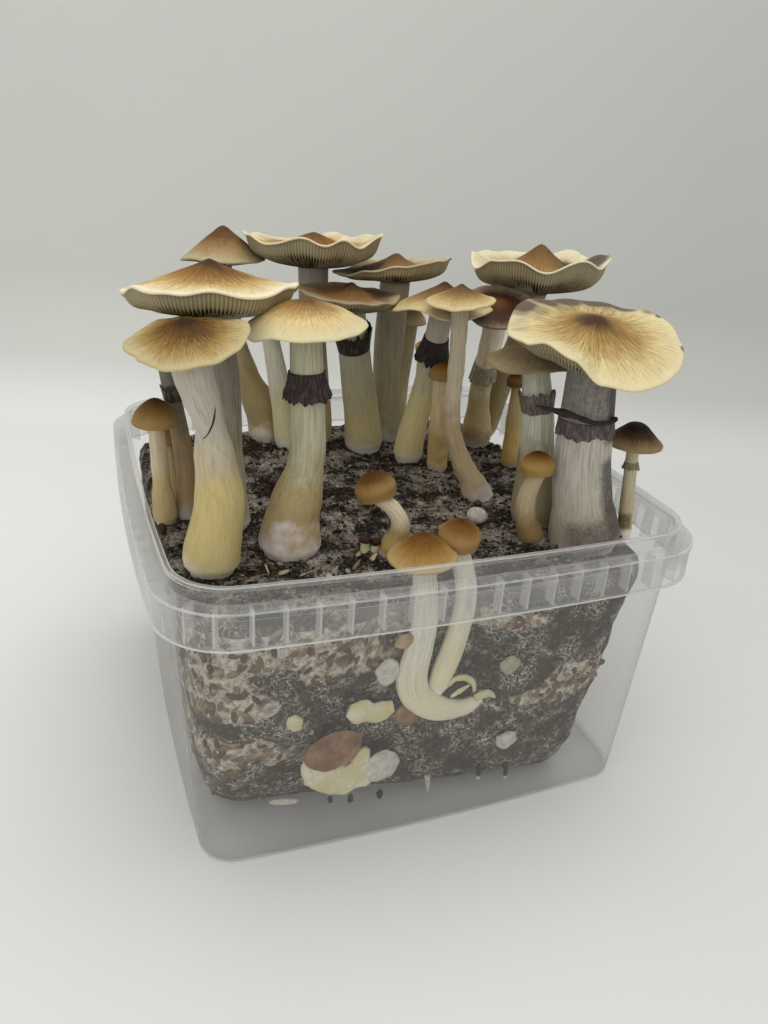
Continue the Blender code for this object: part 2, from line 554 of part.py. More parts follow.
def make_pressed_pair(name, stem, cap_centre, cap_sizes):
    """Mushroom that grew flat between the block and the wall: stem of (x, z, half width), cap beside it."""
    rings = [pressed_ring(x, z, 0.0, wide, PRESSED_Y, PRESSED_SIDES, PRESSED_THICK) for x, z, wide in stem]
    skin(name + "_stem", rings, "stem", roughness=0.7)
    x, z = cap_centre
    half_x, half_y, half_z = cap_sizes
    rings = [pressed_ring(x, z, half_x * wide, half_z * wide, PRESSED_Y - half_y * depth, CAP_SIDES)
             for depth, wide in PRESSED_CAP]
    skin(name + "_cap", rings, "cap_brown")


clear_scene()
make_tub()
make_block()
for title, entry in MUSHROOMS.items():
    make_stem(title, entry)
    make_cap(title, entry)
for title, entry in EDGE_MUSHROOMS.items():
    make_stem(title, entry, foot_normal=Vector(entry["foot"]))
    make_cap(title, entry)
for title, (stem, middle, sizes) in PRESSED.items():
    make_pressed_pair(title, stem, middle, sizes)
make_lump("dark_pin", *PINS["dark_pin"], "cap_umber")
make_lump("white_pin", *PINS["white_pin"], "pin")
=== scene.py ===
import math

import bmesh
import bpy
import numpy as np
from mathutils import Matrix, Vector, noise


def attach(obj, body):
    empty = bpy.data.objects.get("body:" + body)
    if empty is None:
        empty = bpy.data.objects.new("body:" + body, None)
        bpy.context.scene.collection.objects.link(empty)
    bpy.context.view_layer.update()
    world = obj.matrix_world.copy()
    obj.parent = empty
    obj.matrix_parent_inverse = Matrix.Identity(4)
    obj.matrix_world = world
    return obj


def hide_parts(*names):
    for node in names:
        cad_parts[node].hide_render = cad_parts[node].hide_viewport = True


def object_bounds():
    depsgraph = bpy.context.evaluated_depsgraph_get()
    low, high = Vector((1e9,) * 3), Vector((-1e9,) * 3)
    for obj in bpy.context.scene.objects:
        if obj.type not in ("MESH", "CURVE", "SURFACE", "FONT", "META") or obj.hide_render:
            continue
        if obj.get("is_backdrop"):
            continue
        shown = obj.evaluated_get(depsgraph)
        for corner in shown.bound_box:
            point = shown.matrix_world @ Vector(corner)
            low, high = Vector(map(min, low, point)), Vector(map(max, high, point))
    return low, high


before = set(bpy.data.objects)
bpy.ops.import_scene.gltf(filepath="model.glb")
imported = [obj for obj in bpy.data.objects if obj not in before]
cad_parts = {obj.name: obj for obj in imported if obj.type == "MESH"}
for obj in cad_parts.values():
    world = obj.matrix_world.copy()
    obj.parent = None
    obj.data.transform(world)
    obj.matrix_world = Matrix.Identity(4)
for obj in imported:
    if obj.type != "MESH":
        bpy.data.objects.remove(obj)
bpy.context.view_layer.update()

# Camera
# It stands in front of the tub and a little to the left, at arm's length, and looks down on it by
# about 25 degrees. The picture is 768 x 1024 pixels, and the lens is as wide as a phone's.
MM = 0.001
PICTURE_HEIGHT = 1024
FOCAL_PIXELS = 813.82
SENSOR = 36.0
CAMERA_AZIMUTH = -21.962
CAMERA_ELEVATION = 24.763
CAMERA_ROLL = 3.961
CAMERA_DISTANCE = 420.7
CAMERA_TARGET = Vector((30.557, 59.277, 60.0))

azimuth = math.radians(CAMERA_AZIMUTH)
elevation = math.radians(CAMERA_ELEVATION)
roll = math.radians(CAMERA_ROLL)
back = Vector((math.sin(azimuth) * math.cos(elevation), -math.cos(azimuth) * math.cos(elevation),
               math.sin(elevation)))
level = Vector((math.cos(azimuth), math.sin(azimuth), 0.0))
rise = back.cross(level)
right = level * math.cos(roll) + rise * math.sin(roll)
upward = rise * math.cos(roll) - level * math.sin(roll)
lens = bpy.data.cameras.new("camera")
lens.sensor_width = SENSOR
lens.lens = FOCAL_PIXELS / PICTURE_HEIGHT * SENSOR
camera = bpy.data.objects.new("camera", lens)
bpy.context.collection.objects.link(camera)
stand = (CAMERA_TARGET + back * CAMERA_DISTANCE) * MM
camera.matrix_world = Matrix(((right.x, upward.x, back.x, stand.x), (right.y, upward.y, back.y, stand.y),
                              (right.z, upward.z, back.z, stand.z), (0, 0, 0, 1)))
bpy.context.scene.camera = camera


# Studio
# A white sheet lies under the tub and sweeps up behind it, matt and a little grey. Soft light comes
# from a large panel overhead, from three weaker ones round about, and from the room itself.
PAPER = "#ebebe9"
# colour of the painted shade up the sweep
SWEEP_PAINTED_SHADE = "#e6e6e3"
SWEEP_FRONT = -900.0
SWEEP_BACK = 425.0
SWEEP_RADIUS = 110.0
SWEEP_HEIGHT = 1500.0
SWEEP_HALF_WIDTH = 1600.0


def linear(colour):
    """Linear light, with alpha 1, of an sRGB colour written as #rrggbb."""
    parts = [int(colour[i:i + 2], 16) / 255 for i in (1, 3, 5)]
    return [c / 12.92 if c <= 0.04045 else ((c + 0.055) / 1.055) ** 2.4 for c in parts] + [1.0]


def add(tree, kind, sockets=None, stops=None, **settings):
    """Adds a shader node. sockets maps an input to a value, a colour written as #rrggbb, the output
    that feeds it, or the node whose first output does. stops are the marks of a colour ramp."""
    made = tree.nodes.new("ShaderNode" + kind)
    for key, value in settings.items():
        setattr(made, key, value)
    for key, value in (sockets or {}).items():
        if isinstance(value, bpy.types.Node):
            value = value.outputs[0]
        if isinstance(value, bpy.types.NodeSocket):
            tree.links.new(value, made.inputs[key])
        elif isinstance(value, str):
            made.inputs[key].default_value = linear(value)
        else:
            made.inputs[key].default_value = value
    for place, (position, colour) in enumerate(stops or []):
        elements = made.color_ramp.elements
        element = elements[place] if place < 2 else elements.new(position)
        element.position = position
        element.color = linear(colour)
    return made


def new_finish(name):
    """An empty material and its node tree."""
    finish = bpy.data.materials.new(name)
    finish.use_nodes = True
    finish.node_tree.nodes.clear()
    return finish, finish.node_tree


# Background paper: matt card, its fibres too fine to see, so only a faint cloudiness is left
paper, tree = new_finish("matt_background_paper")
where = add(tree, "TexCoord").outputs["Object"]
cloud = add(tree, "TexNoise", {"Vector": where, "Scale": 1000 / 400, "Detail": 2.0})
shade = add(tree, "ValToRGB", {"Fac": cloud}, [(0.3, "#e6e6e4"), (0.7, PAPER)])
# painted shade: it dims over half a metre from left to right, and over the first 40 mm of the sweep
height = add(tree, "SeparateXYZ", {"Vector": where}).outputs["Z"]
across = add(tree, "SeparateXYZ", {"Vector": where}).outputs["X"]
across = add(tree, "Math", {0: across, 1: 1 / 0.5, 2: 0.5}, operation="MULTIPLY_ADD")
side = add(tree, "ValToRGB", {"Fac": across}, [(0.0, "#ffffff"), (1.0, "#eeeeee")])
shade = add(tree, "MixRGB", {0: 1.0, 1: shade, 2: side}, blend_type="MULTIPLY")
height = add(tree, "Math", {0: height, 1: 10.0}, operation="MULTIPLY")
wall = add(tree, "ValToRGB", {"Fac": height}, [(0.02, "#ffffff"), (0.4, SWEEP_PAINTED_SHADE)])
shade = add(tree, "MixRGB", {0: 1.0, 1: shade, 2: wall}, blend_type="MULTIPLY")
card = add(tree, "BsdfPrincipled", {"Base Color": shade, "Roughness": 0.9, "Specular IOR Level": 0.1})
add(tree, "OutputMaterial", {"Surface": card})

profile = [(SWEEP_FRONT, 0.0), (SWEEP_BACK - SWEEP_RADIUS, 0.0)]
for step in range(1, 24):
    turn = math.radians(90 * step / 24)
    profile.append((SWEEP_BACK - SWEEP_RADIUS + SWEEP_RADIUS * math.sin(turn),
                    SWEEP_RADIUS * (1 - math.cos(turn))))
profile += [(SWEEP_BACK, SWEEP_RADIUS), (SWEEP_BACK, SWEEP_HEIGHT)]
points = [Vector((x, y, z)) * MM for y, z in profile for x in (-SWEEP_HALF_WIDTH, SWEEP_HALF_WIDTH)]
faces = [(2 * i, 2 * i + 1, 2 * i + 3, 2 * i + 2) for i in range(len(profile) - 1)]
mesh = bpy.data.meshes.new("backdrop")
mesh.from_pydata(points, [], faces)
mesh.shade_smooth()
mesh.materials.append(paper)
backdrop = bpy.data.objects.new("backdrop", mesh)
bpy.context.collection.objects.link(backdrop)
backdrop.rotation_euler = (0, 0, azimuth)
backdrop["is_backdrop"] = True

world = bpy.data.worlds.new("room")
world.use_nodes = True
world.node_tree.nodes["Background"].inputs["Color"].default_value = linear("#f4f4f1")
world.node_tree.nodes["Background"].inputs["Strength"].default_value = 0.50
bpy.context.scene.world = world
bpy.context.scene.view_settings.view_transform = "Standard"

# name, place in mm, size in mm, watts
LAMPS = [
    ("overhead_panel", (60, 40, 1000), 1100, 6.0),
    ("left_window", (-1000, -500, 700), 1000, 2.0),
    ("front_panel", (-300, -1000, 450), 900, 2.4),
    ("back_panel", (200, 420, 800), 700, 1.6),
]
for title, place, size, power in LAMPS:
    light = bpy.data.lights.new(title, "AREA")
    light.size = size * MM
    light.energy = power
    lamp = bpy.data.objects.new(title, light)
    bpy.context.collection.objects.link(lamp)
    lamp.location = Vector(place) * MM
    aim = Vector((0, 0, 110)) - Vector(place)
    lamp.rotation_euler = aim.to_track_quat("-Z", "Y").to_euler()


# Tub
# A square food tub, injection moulded in milky polypropylene, 200 mm over its rim. A ledge and a
# hanging skirt stiffen the rim, tied to the wall by thin upright ribs; the lip ends in a bead.
TUB_HEIGHT = 116.0
WALL = 1.2
FOOT_HALF = 86.2
FOOT_RADIUS = 13.3
FOOT_ROUND = 2.0
WALL_HALF = 92.4
WALL_RADIUS = 20.0
SIDE_BOW = 2.0
FLOOR = 3.0
LEDGE_TOP = 110.2
SKIRT_HALF = 98.0
SKIRT_RADIUS = 25.3
SKIRT_BOTTOM = 97.0
BAND = 2.4
BAND_PROUD = 0.35
BEAD = 1.8
BEAD_PROUD = 0.7
RIB_PITCH = 10.05
RIB_SHIFT = -0.2
RIBS_A_SIDE = 15
CORNER_RIBS = (-112.5, -135.0, -157.5)
RIB_THICK = 0.7
CORNER_POINTS = 10
SIDE_POINTS = 16


def square_ring(half, radius, z):
    """Points round a square with round corners, at height z, its sides bulging out a little."""
    ring = []
    for start in (-90, 0, 90, 180):
        turn = math.radians(start)
        out = np.array((math.cos(turn), math.sin(turn)))
        along = np.array((-out[1], out[0]))
        reach = half - radius
        middle = out * half
        for k in range(SIDE_POINTS):
            share = k / SIDE_POINTS
            place = middle + along * reach * (2 * share - 1) + out * SIDE_BOW * 4 * share * (1 - share)
            ring.append((*place, z))
        centre = (out + along) * reach
        for k in range(CORNER_POINTS):
            bend = turn + math.radians(90 * k / CORNER_POINTS)
            ring.append((centre[0] + radius * math.cos(bend), centre[1] + radius * math.sin(bend), z))
    return ring


def wall_half(z):
    """Half the width of the tub at a height; its wall leans out a little from the foot up."""
    return FOOT_HALF + (WALL_HALF - FOOT_HALF) * (z - FOOT_ROUND) / (LEDGE_TOP - FOOT_ROUND)


def add_piece(name, points, faces, finishes, slots=None, marks=None):
    """Object of a mesh in mm. slots has each face's finish, marks the values kept at each point."""
    mesh = bpy.data.meshes.new(name)
    mesh.from_pydata((np.asarray(points, float) * MM).tolist(), [], faces)
    for finish in finishes:
        mesh.materials.append(finish)
    if slots is not None:
        mesh.polygons.foreach_set("material_index", np.asarray(slots, np.int32))
    for key, values in (marks or {}).items():
        values = np.asarray(values, np.float32)
        kind = "FLOAT_VECTOR" if values.ndim == 2 else "FLOAT"
        mark = mesh.attributes.new(key, kind, "POINT")
        mark.data.foreach_set("vector" if values.ndim == 2 else "value", values.ravel())
    mesh.shade_smooth()
    piece = bpy.data.objects.new(name, mesh)
    bpy.context.collection.objects.link(piece)
    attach(piece, "root")
    return piece


def lace(counts, first_pole=False, last_pole=False, around=False):
    """Faces between rings of points, and each one's row. A ring has as many points as the one before
    it or twice as many, and a pole is one more point that closes the first or the last ring."""
    starts = np.concatenate([[0], np.cumsum(counts)])
    faces = []
    rows = []
    pairs = list(zip(range(len(counts) - 1), range(1, len(counts))))
    if around:
        pairs.append((len(counts) - 1, 0))
    for a, b in pairs:
        low = starts[a]
        high = starts[b]
        n = counts[a]
        m = counts[b]
        before = len(faces)
        for i in range(n):
            j = (i + 1) % n
            if n == m:
                faces.append((low + i, low + j, high + j, high + i))
            else:
                faces.append((low + i, low + j, high + (2 * i + 1) % m))
                faces.append((low + i, high + (2 * i + 1) % m, high + 2 * i))
                faces.append((low + j, high + (2 * i + 2) % m, high + (2 * i + 1) % m))
        rows += [a] * (len(faces) - before)
    total = int(starts[-1])
    if first_pole:
        faces += [(total, (i + 1) % counts[0], i) for i in range(counts[0])]
        rows += [0] * counts[0]
        total += 1
    if last_pole:
        n = counts[-1]
        low = starts[-2]
        faces += [(total, low + i, low + (i + 1) % n) for i in range(n)]
        rows += [len(counts) - 1] * n
    return [tuple(int(v) for v in face) for face in faces], rows


def milky_plastic(name, haze, tint, ripple):
    """Polypropylene: the eye gets a soft grey-white veil over what is behind it, denser at a slant,
    and a wet-looking shine with a faint ripple from the mould."""
    finish, tree = new_finish(name)
    where = add(tree, "TexCoord").outputs["Object"]
    # the mould's ripple is about 12 mm wide, and the grain of its polish too fine to show
    wave = add(tree, "TexNoise", {"Vector": where, "Scale": 1000 / 12, "Detail": 2.0})
    bump = add(tree, "Bump", {"Height": wave, "Strength": ripple, "Distance": 0.0006})
    body = add(tree, "BsdfDiffuse", {"Color": tint, "Normal": bump})
    glow = add(tree, "BsdfTranslucent", {"Color": tint, "Normal": bump})
    milk = add(tree, "MixShader", {0: 0.5, 1: body, 2: glow})
    clear = add(tree, "BsdfTransparent", {"Color": "#fafafa"})
    slant = add(tree, "LayerWeight", {"Blend": 0.5}).outputs["Facing"]
    upright = add(tree, "Math", {0: 1.0, 1: slant}, operation="SUBTRACT")
    # a slanting look goes through more of it, up to about eight times the wall
    least = add(tree, "Math", {0: upright, 1: 0.12}, operation="MAXIMUM")
    depth = add(tree, "Math", {0: 1.0, 1: least}, operation="DIVIDE")
    passed = add(tree, "Math", {0: 1 - haze, 1: depth}, operation="POWER")
    veil = add(tree, "Math", {0: 1.0, 1: passed}, operation="SUBTRACT")
    veiled = add(tree, "MixShader", {0: veil, 1: clear, 2: milk})
    shine = add(tree, "BsdfAnisotropic", {"Roughness": 0.2, "Normal": bump})
    graze = add(tree, "Math", {0: slant, 1: 5.0}, operation="POWER")
    mirror = add(tree, "Math", {0: graze, 1: 0.6, 2: 0.035}, operation="MULTIPLY_ADD")
    plastic = add(tree, "MixShader", {0: mirror, 1: veiled, 2: shine})
    add(tree, "OutputMaterial", {"Surface": plastic})
    return finish


wall_plastic = milky_plastic("milky_polypropylene_wall", 0.07, "#e9e9e5", 0.25)
rim_plastic = milky_plastic("milky_polypropylene_rim", 0.16, "#ececea", 0.35)
# the edge finish is denser, and its lighter tint is a painted highlight
edge_plastic_painted_highlight = milky_plastic("milky_polypropylene_edge_painted_highlight", 0.45, "#f6f6f4", 0.2)

rings = [
    square_ring(FOOT_HALF - 12, FOOT_RADIUS - 6, 0.6),
    square_ring(FOOT_HALF - FOOT_ROUND, FOOT_RADIUS - FOOT_ROUND, 0),
    square_ring(FOOT_HALF - 0.6, FOOT_RADIUS - 0.6, 0.6),
    square_ring(FOOT_HALF, FOOT_RADIUS, FOOT_ROUND),
    square_ring(wall_half(30), FOOT_RADIUS + 1.7, 30),
    square_ring(wall_half(60), FOOT_RADIUS + 3.5, 60),
    square_ring(wall_half(85), FOOT_RADIUS + 5.0, 85),
    square_ring(WALL_HALF, WALL_RADIUS, LEDGE_TOP - 1.3),
    square_ring(WALL_HALF, WALL_RADIUS, TUB_HEIGHT - BEAD),
    square_ring(WALL_HALF + BEAD_PROUD, WALL_RADIUS, TUB_HEIGHT - BEAD + 0.5),
    square_ring(WALL_HALF + BEAD_PROUD, WALL_RADIUS, TUB_HEIGHT - 0.4),
    square_ring(WALL_HALF + BEAD_PROUD - 0.4, WALL_RADIUS, TUB_HEIGHT),
    square_ring(WALL_HALF - WALL + 0.4, WALL_RADIUS - WALL, TUB_HEIGHT),
    square_ring(WALL_HALF - WALL, WALL_RADIUS - WALL, TUB_HEIGHT - 0.4),
    square_ring(WALL_HALF - WALL, WALL_RADIUS - WALL, TUB_HEIGHT - BEAD - 0.6),
]
columns = len(rings[0])
faces, rows = lace([columns] * len(rings), first_pole=True)
points = [p for ring in rings for p in ring] + [(0, 0, 0.6)]
# thick edges catch the light, shown as denser milk with a painted highlight in its lighter tint:
# finish 2 there, 0 on the thin wall and 1 on the rim
slots = [2 if row in (1, 2, 8, 10, 12) else 0 if row < 7 else 1 for row in rows]
skirt = [
    square_ring(WALL_HALF + 0.1, WALL_RADIUS, LEDGE_TOP),
    square_ring(SKIRT_HALF + BAND_PROUD - 0.5, SKIRT_RADIUS, LEDGE_TOP),
    square_ring(SKIRT_HALF + BAND_PROUD, SKIRT_RADIUS, LEDGE_TOP - 0.5),
    square_ring(SKIRT_HALF + BAND_PROUD, SKIRT_RADIUS, LEDGE_TOP - BAND + 0.3),
    square_ring(SKIRT_HALF, SKIRT_RADIUS, LEDGE_TOP - BAND),
    square_ring(SKIRT_HALF, SKIRT_RADIUS, SKIRT_BOTTOM + 0.8),
    square_ring(SKIRT_HALF + 0.25, SKIRT_RADIUS, SKIRT_BOTTOM + 0.3),
    square_ring(SKIRT_HALF - 0.2, SKIRT_RADIUS, SKIRT_BOTTOM),
    square_ring(SKIRT_HALF - WALL + 0.2, SKIRT_RADIUS - WALL, SKIRT_BOTTOM),
    square_ring(SKIRT_HALF - WALL, SKIRT_RADIUS - WALL, SKIRT_BOTTOM + 0.8),
]
more, rows = lace([columns] * len(skirt))
first = len(points)
points += [p for ring in skirt for p in ring]
faces += [tuple(v + first for v in face) for face in more]
slots += [2 if row in (1, 3, 5, 6, 7) else 1 for row in rows]
straight = SKIRT_HALF - SKIRT_RADIUS
# ribs: where they start from, which way they head, and how far out each begins and ends
stands = [(-straight, -straight, heading, WALL_RADIUS - 0.9, SKIRT_RADIUS - WALL - 0.1)
          for heading in CORNER_RIBS]
for n in range(RIBS_A_SIDE):
    a = RIB_PITCH * (n - (RIBS_A_SIDE - 1) / 2) + RIB_SHIFT
    bow = SIDE_BOW * (1 - min(abs(a) / straight, 1) ** 2)
    stands.append((a, 0.0, -90.0, wall_half(104) + bow + 0.1, SKIRT_HALF - WALL + bow - 0.1))
for side in range(4):
    turn = math.radians(90 * side)
    for x, y, heading, inner, outer in stands:
        out = turn + math.radians(heading)
        foot_x = x * math.cos(turn) - y * math.sin(turn)
        foot_y = x * math.sin(turn) + y * math.cos(turn)
        first = len(points)
        for z in (SKIRT_BOTTOM + 0.7, LEDGE_TOP - 0.4):
            for reach, aside in ((inner, -1), (inner, 1), (outer, 1), (outer, -1)):
                shift = aside * RIB_THICK / 2
                points.append((foot_x + reach * math.cos(out) - shift * math.sin(out),
                               foot_y + reach * math.sin(out) + shift * math.cos(out), z))
        box = [(3, 2, 1, 0), (4, 5, 6, 7), (0, 1, 5, 4), (1, 2, 6, 5), (2, 3, 7, 6), (3, 0, 4, 7)]
        faces += [tuple(v + first for v in face) for face in box]
        # each rib's outer narrow face takes the edge finish with its painted highlight
        slots += [0, 0, 0, 1, 2, 1]
tub = add_piece("food_tub", points, faces, [wall_plastic, rim_plastic, edge_plastic_painted_highlight], slots)
tub.data.set_sharp_from_angle(angle=math.radians(50))
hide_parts("tub")


# Block
# Rye grain grown through by mycelium and cased with dark soil, pressed in the tub and now shrunk
# from its right wall. Its sides show brown kernels in a white web, and soil that fell past them.
GAP = 0.3
SOIL = 99.0
BLOCK_BOW = 1.2
BLOCK_TOP = 97.5
# height, front, right, left, back face, corner radius
BLOCK_LEVELS = [
    (FLOOR + GAP, -69, 63, -79, 78, 12),
    (10, -75, 65, -80.5, 82, 13),
    (21, -81, 67, -83, 84, 14),
    (38, -84.5, 71, -85.5, 85, 15),
    (58, -86, 75, -86.5, 86, 16),
    (78, -87, 78, -87.5, 87, 18),
    (93, -88, 83, -88.5, 88, 19),
    (BLOCK_TOP, -86.5, 83, -88, 87, 19),
]
LOW_SKEW = 0.12  # how much the foot of its front face turns, per mm along it
SKEW_HEIGHT = 32.0  # how far up the turn fades out
SKEW_FROM = -30.0  # y where it starts
SKEW_FADE = 20.0  # and the distance over which it grows
HOLLOWS_FROM = -60.0  # y in front of which the hollows lie
FRONT_FROM = -62.0  # y in front of which the front's own patches lie
DARK_EDGE = 4.0  # depth of soil seen at the top of the sides
INSET = 0.6  # how far the sides lie inside the levels on average
COARSE_ROUGH = 0.9
FINE_ROUGH = 0.55
PROUD_MOST = 0.3
# Hollows pressed into its front face by mushrooms: x, z, half width, half height, depth
FRONT_HOLLOWS = [
    (-12, 92, 13, 22, 6.5),
    (6, 92, 13, 24, 8.5),
    (-2, 62, 22, 20, 7.5),
    (-34, 30, 26, 17, 6.0),
    (-27, 56, 20, 12, 5.0),
]
CORNER_STEPS = 12
SIDE_STEPS = 56
SIDE_ROWS = 78
TOP_ROWS = 64


def block_ring(front, right, left, back, radius, z):
    """Points round the block at a height, from the front left corner on."""
    corners = [(right - radius, front + radius, -90), (right - radius, back - radius, 0),
               (left + radius, back - radius, 90), (left + radius, front + radius, 180)]
    ring = []
    for n, (cx, cy, start) in enumerate(corners):
        for k in range(CORNER_STEPS):
            turn = math.radians(start + 90 * k / CORNER_STEPS)
            ring.append((cx + radius * math.cos(turn), cy + radius * math.sin(turn), z))
        turn = math.radians(start + 90)
        a = np.array((cx + radius * math.cos(turn), cy + radius * math.sin(turn)))
        nx, ny, _ = corners[(n + 1) % 4]
        b = np.array((nx + radius * math.cos(turn), ny + radius * math.sin(turn)))
        out = np.array((math.cos(turn), math.sin(turn)))
        for k in range(SIDE_STEPS):
            share = k / SIDE_STEPS
            ring.append((*(a + (b - a) * share + out * BLOCK_BOW * 4 * share * (1 - share)), z))
    return np.array(ring)


def field(points, size, seed, octaves=2):
    """Smooth noise from about -1 to 1 at each point, size mm wide."""
    shift = Vector((seed * 7.3, seed * 3.1, seed * 5.7))
    return np.array([noise.fractal(Vector(p) / size + shift, 1.0, 2.0, octaves) for p in points])


def front_push(points):
    """How far the hollows push the front face back at each point."""
    push = np.zeros(len(points))
    for x, z, half_width, half_height, depth in FRONT_HOLLOWS:
        reach = ((points[:, 0] - x) / half_width) ** 2 + ((points[:, 2] - z) / half_height) ** 2
        push = np.maximum(push, depth * np.minimum(1.0, 1.8 * np.exp(-reach)))
    return np.where(points[:, 1] < HOLLOWS_FROM, push, 0.0)


def block_at(z):
    """Front, right, left and back face and corner radius of the block at a height."""
    heights = [row[0] for row in BLOCK_LEVELS]
    return [np.interp(z, heights, [row[n] for row in BLOCK_LEVELS]) for n in range(1, 6)]


def soil_level(points):
    """Height of the soil at each point: crumbly, in low humps."""
    flat = np.column_stack([points[:, 0], points[:, 1], np.zeros(len(points))])
    return SOIL + 1.2 * field(flat, 26.0, 3) + 0.9 * field(flat, 7.0, 4) + 0.8 * field(flat, 2.8, 5)


side = []
for z in np.linspace(FLOOR + GAP, BLOCK_TOP, SIDE_ROWS):
    ring = block_ring(*block_at(z), z)
    low = max(0.0, 1 - (z - FLOOR) / SKEW_HEIGHT)
    ring[:, 1] -= LOW_SKEW * low * ring[:, 0] * np.clip((SKEW_FROM - ring[:, 1]) / SKEW_FADE, 0, 1)
    ring[:, 1] += front_push(ring)
    side.append(ring)
side = np.concatenate(side)
outward = side[:, :2] / np.linalg.norm(side[:, :2], axis=1)[:, None]
rough = -INSET + COARSE_ROUGH * field(side, 14.0, 1) + FINE_ROUGH * field(side, 4.5, 2)
side[:, :2] += outward * np.minimum(rough, PROUD_MOST)[:, None]
rim = side[-(CORNER_STEPS + SIDE_STEPS) * 4:]
top = []
for scale in np.linspace(0.985, 0.02, TOP_ROWS):
    ring = rim * (scale, scale, 1)
    ring[:, 2] = soil_level(ring)
    top.append(ring)
columns = len(rim)
# the last two points close the foot and the middle of the top
under = np.array([[-3.0, 8.0, FLOOR + GAP]])
peak = np.array([[0.0, 0.0, SOIL]])
points = np.concatenate([side, *top, under, peak])
faces, rows = lace([columns] * (SIDE_ROWS + TOP_ROWS), first_pole=True, last_pole=True)


# Where grain shows through the front wall, in the dark soil: x, z, half width, half height
GRAIN_PATCHES = [
    (-58, 85, 38, 6),
    (-80, 76, 10, 6),
    (-77, 66, 17, 6),
    (-77, 46, 17, 7),
    (-56, 40, 9, 5),
    (-44, 77, 9, 4),
    (-27, 77, 10, 6),
    (-20, 70, 7, 14),
    (-8, 86, 20, 8),
    (22, 84, 16, 4),
    (54, 55, 14, 8),
    (42, 48, 12, 4),
    (-50, 95, 60, 4),
]


def soil_share(points):
    """Where soil rather than grain shows, from 0 to 1: on top, and in patches down the sides."""
    patch = 0.5 + 1.1 * field(points * (1, 1, 2.2), 24.0, 8, 3)
    grain = np.zeros(len(points))
    for x, z, half_width, half_height in GRAIN_PATCHES:
        gap = np.hypot((points[:, 0] - x) / half_width, (points[:, 2] - z) / half_height)
        grain = np.maximum(grain, 1.5 * (1.35 - gap))
    front = 1 - 0.85 * np.clip(grain, 0, 1) + 0.5 * field(points, 8.0, 9, 3)
    patch = np.where(points[:, 1] < FRONT_FROM, front, patch)
    patch += np.where(points[:, 2] > SOIL - DARK_EDGE, 2.0, 0.0)
    return np.clip(patch, 0, 1)


# Grain and soil: the eye gets near-black crumbs under a haze and single threads of mycelium, and
# where grain lies, chalky felt with brown kernels in its gaps
substrate_mix, tree = new_finish("myceliated_grain_and_soil")
where = add(tree, "TexCoord").outputs["Object"]
share = add(tree, "Attribute", attribute_name="soil").outputs["Fac"]
warp = add(tree, "TexNoise", {"Vector": where, "Scale": 1000 / 4, "Detail": 3.0}).outputs["Color"]
bent = add(tree, "MixRGB", {0: 0.004, 1: where, 2: warp}, blend_type="ADD")
speck = add(tree, "TexNoise", {"Vector": where, "Scale": 1000 / 1.4, "Detail": 5.0, "Roughness": 0.75})
drift = add(tree, "TexNoise", {"Vector": where, "Scale": 1000 / 12, "Detail": 5.0, "Roughness": 0.62})
fuzz = add(tree, "TexNoise", {"Vector": where, "Scale": 1000 / 2.0, "Detail": 7.0, "Roughness": 0.8})
# kernels lie 6 mm apart, with an uneven web of felt between them
web = add(tree, "TexVoronoi", {"Vector": bent, "Scale": 1000 / 6}, feature="DISTANCE_TO_EDGE")
cells = add(tree, "TexVoronoi", {"Vector": bent, "Scale": 1000 / 6}).outputs["Color"]
bran = add(tree, "ValToRGB", {"Fac": cells}, [(0.2, "#3d3022"), (0.5, "#5d4a36"), (0.8, "#7b6749")])
felt = add(tree, "ValToRGB", {"Fac": fuzz}, [(0.36, "#6f6250"), (0.48, "#b9ad99"), (0.60, "#ece6da")])
woven = add(tree, "Math", {0: fuzz, 1: 0.35, 2: web}, operation="MULTIPLY_ADD")
gaps = add(tree, "ValToRGB", {"Fac": woven}, [(0.30, "#ffffff"), (0.42, "#000000")])
grainy = add(tree, "MixRGB", {0: gaps, 1: bran, 2: felt})
dirt = add(tree, "ValToRGB", {"Fac": speck}, [(0.38, "#080605"), (0.49, "#1b1510"), (0.58, "#40352b"),
                                              (0.68, "#8a7d6a")])
ragged = add(tree, "TexNoise", {"Vector": where, "Scale": 1000 / 2.6, "Detail": 5.0, "Roughness": 0.7})
# soil and grain meet along ragged edges
ragged = add(tree, "Math", {0: ragged, 1: -0.5})
edge = add(tree, "Math", {0: share, 1: ragged})
mask = add(tree, "ValToRGB", {"Fac": edge}, [(0.42, "#000000"), (0.60, "#ffffff")])
colour = add(tree, "MixRGB", {0: mask, 1: grainy, 2: dirt})
# on top the down lies in soft patches
facing = add(tree, "SeparateXYZ", {"Vector": add(tree, "NewGeometry").outputs["Normal"]}).outputs["Z"]
above = add(tree, "ValToRGB", {"Fac": facing}, [(0.3, "#202020"), (0.7, "#ffffff")])
down = add(tree, "Math", {0: fuzz, 1: 0.6, 2: drift}, operation="MULTIPLY_ADD")
patches = add(tree, "ValToRGB", {"Fac": down}, [(0.78, "#000000"), (0.90, "#b8b8b8")])
patches = add(tree, "MixRGB", {0: 1.0, 1: patches, 2: above}, blend_type="MULTIPLY")
colour = add(tree, "MixRGB", {0: patches, 1: colour, 2: "#aca08f"})
# down the sides it is pressed against the plastic to a thin grey film
film = add(tree, "ValToRGB", {"Fac": above}, [(0.1, "#707070"), (0.6, "#000000")])
colour = add(tree, "MixRGB", {0: film, 1: colour, 2: "#8b8172"})
near = add(tree, "ValToRGB", {"Fac": drift}, [(0.43, "#141414"), (0.56, "#f0f0f0")])
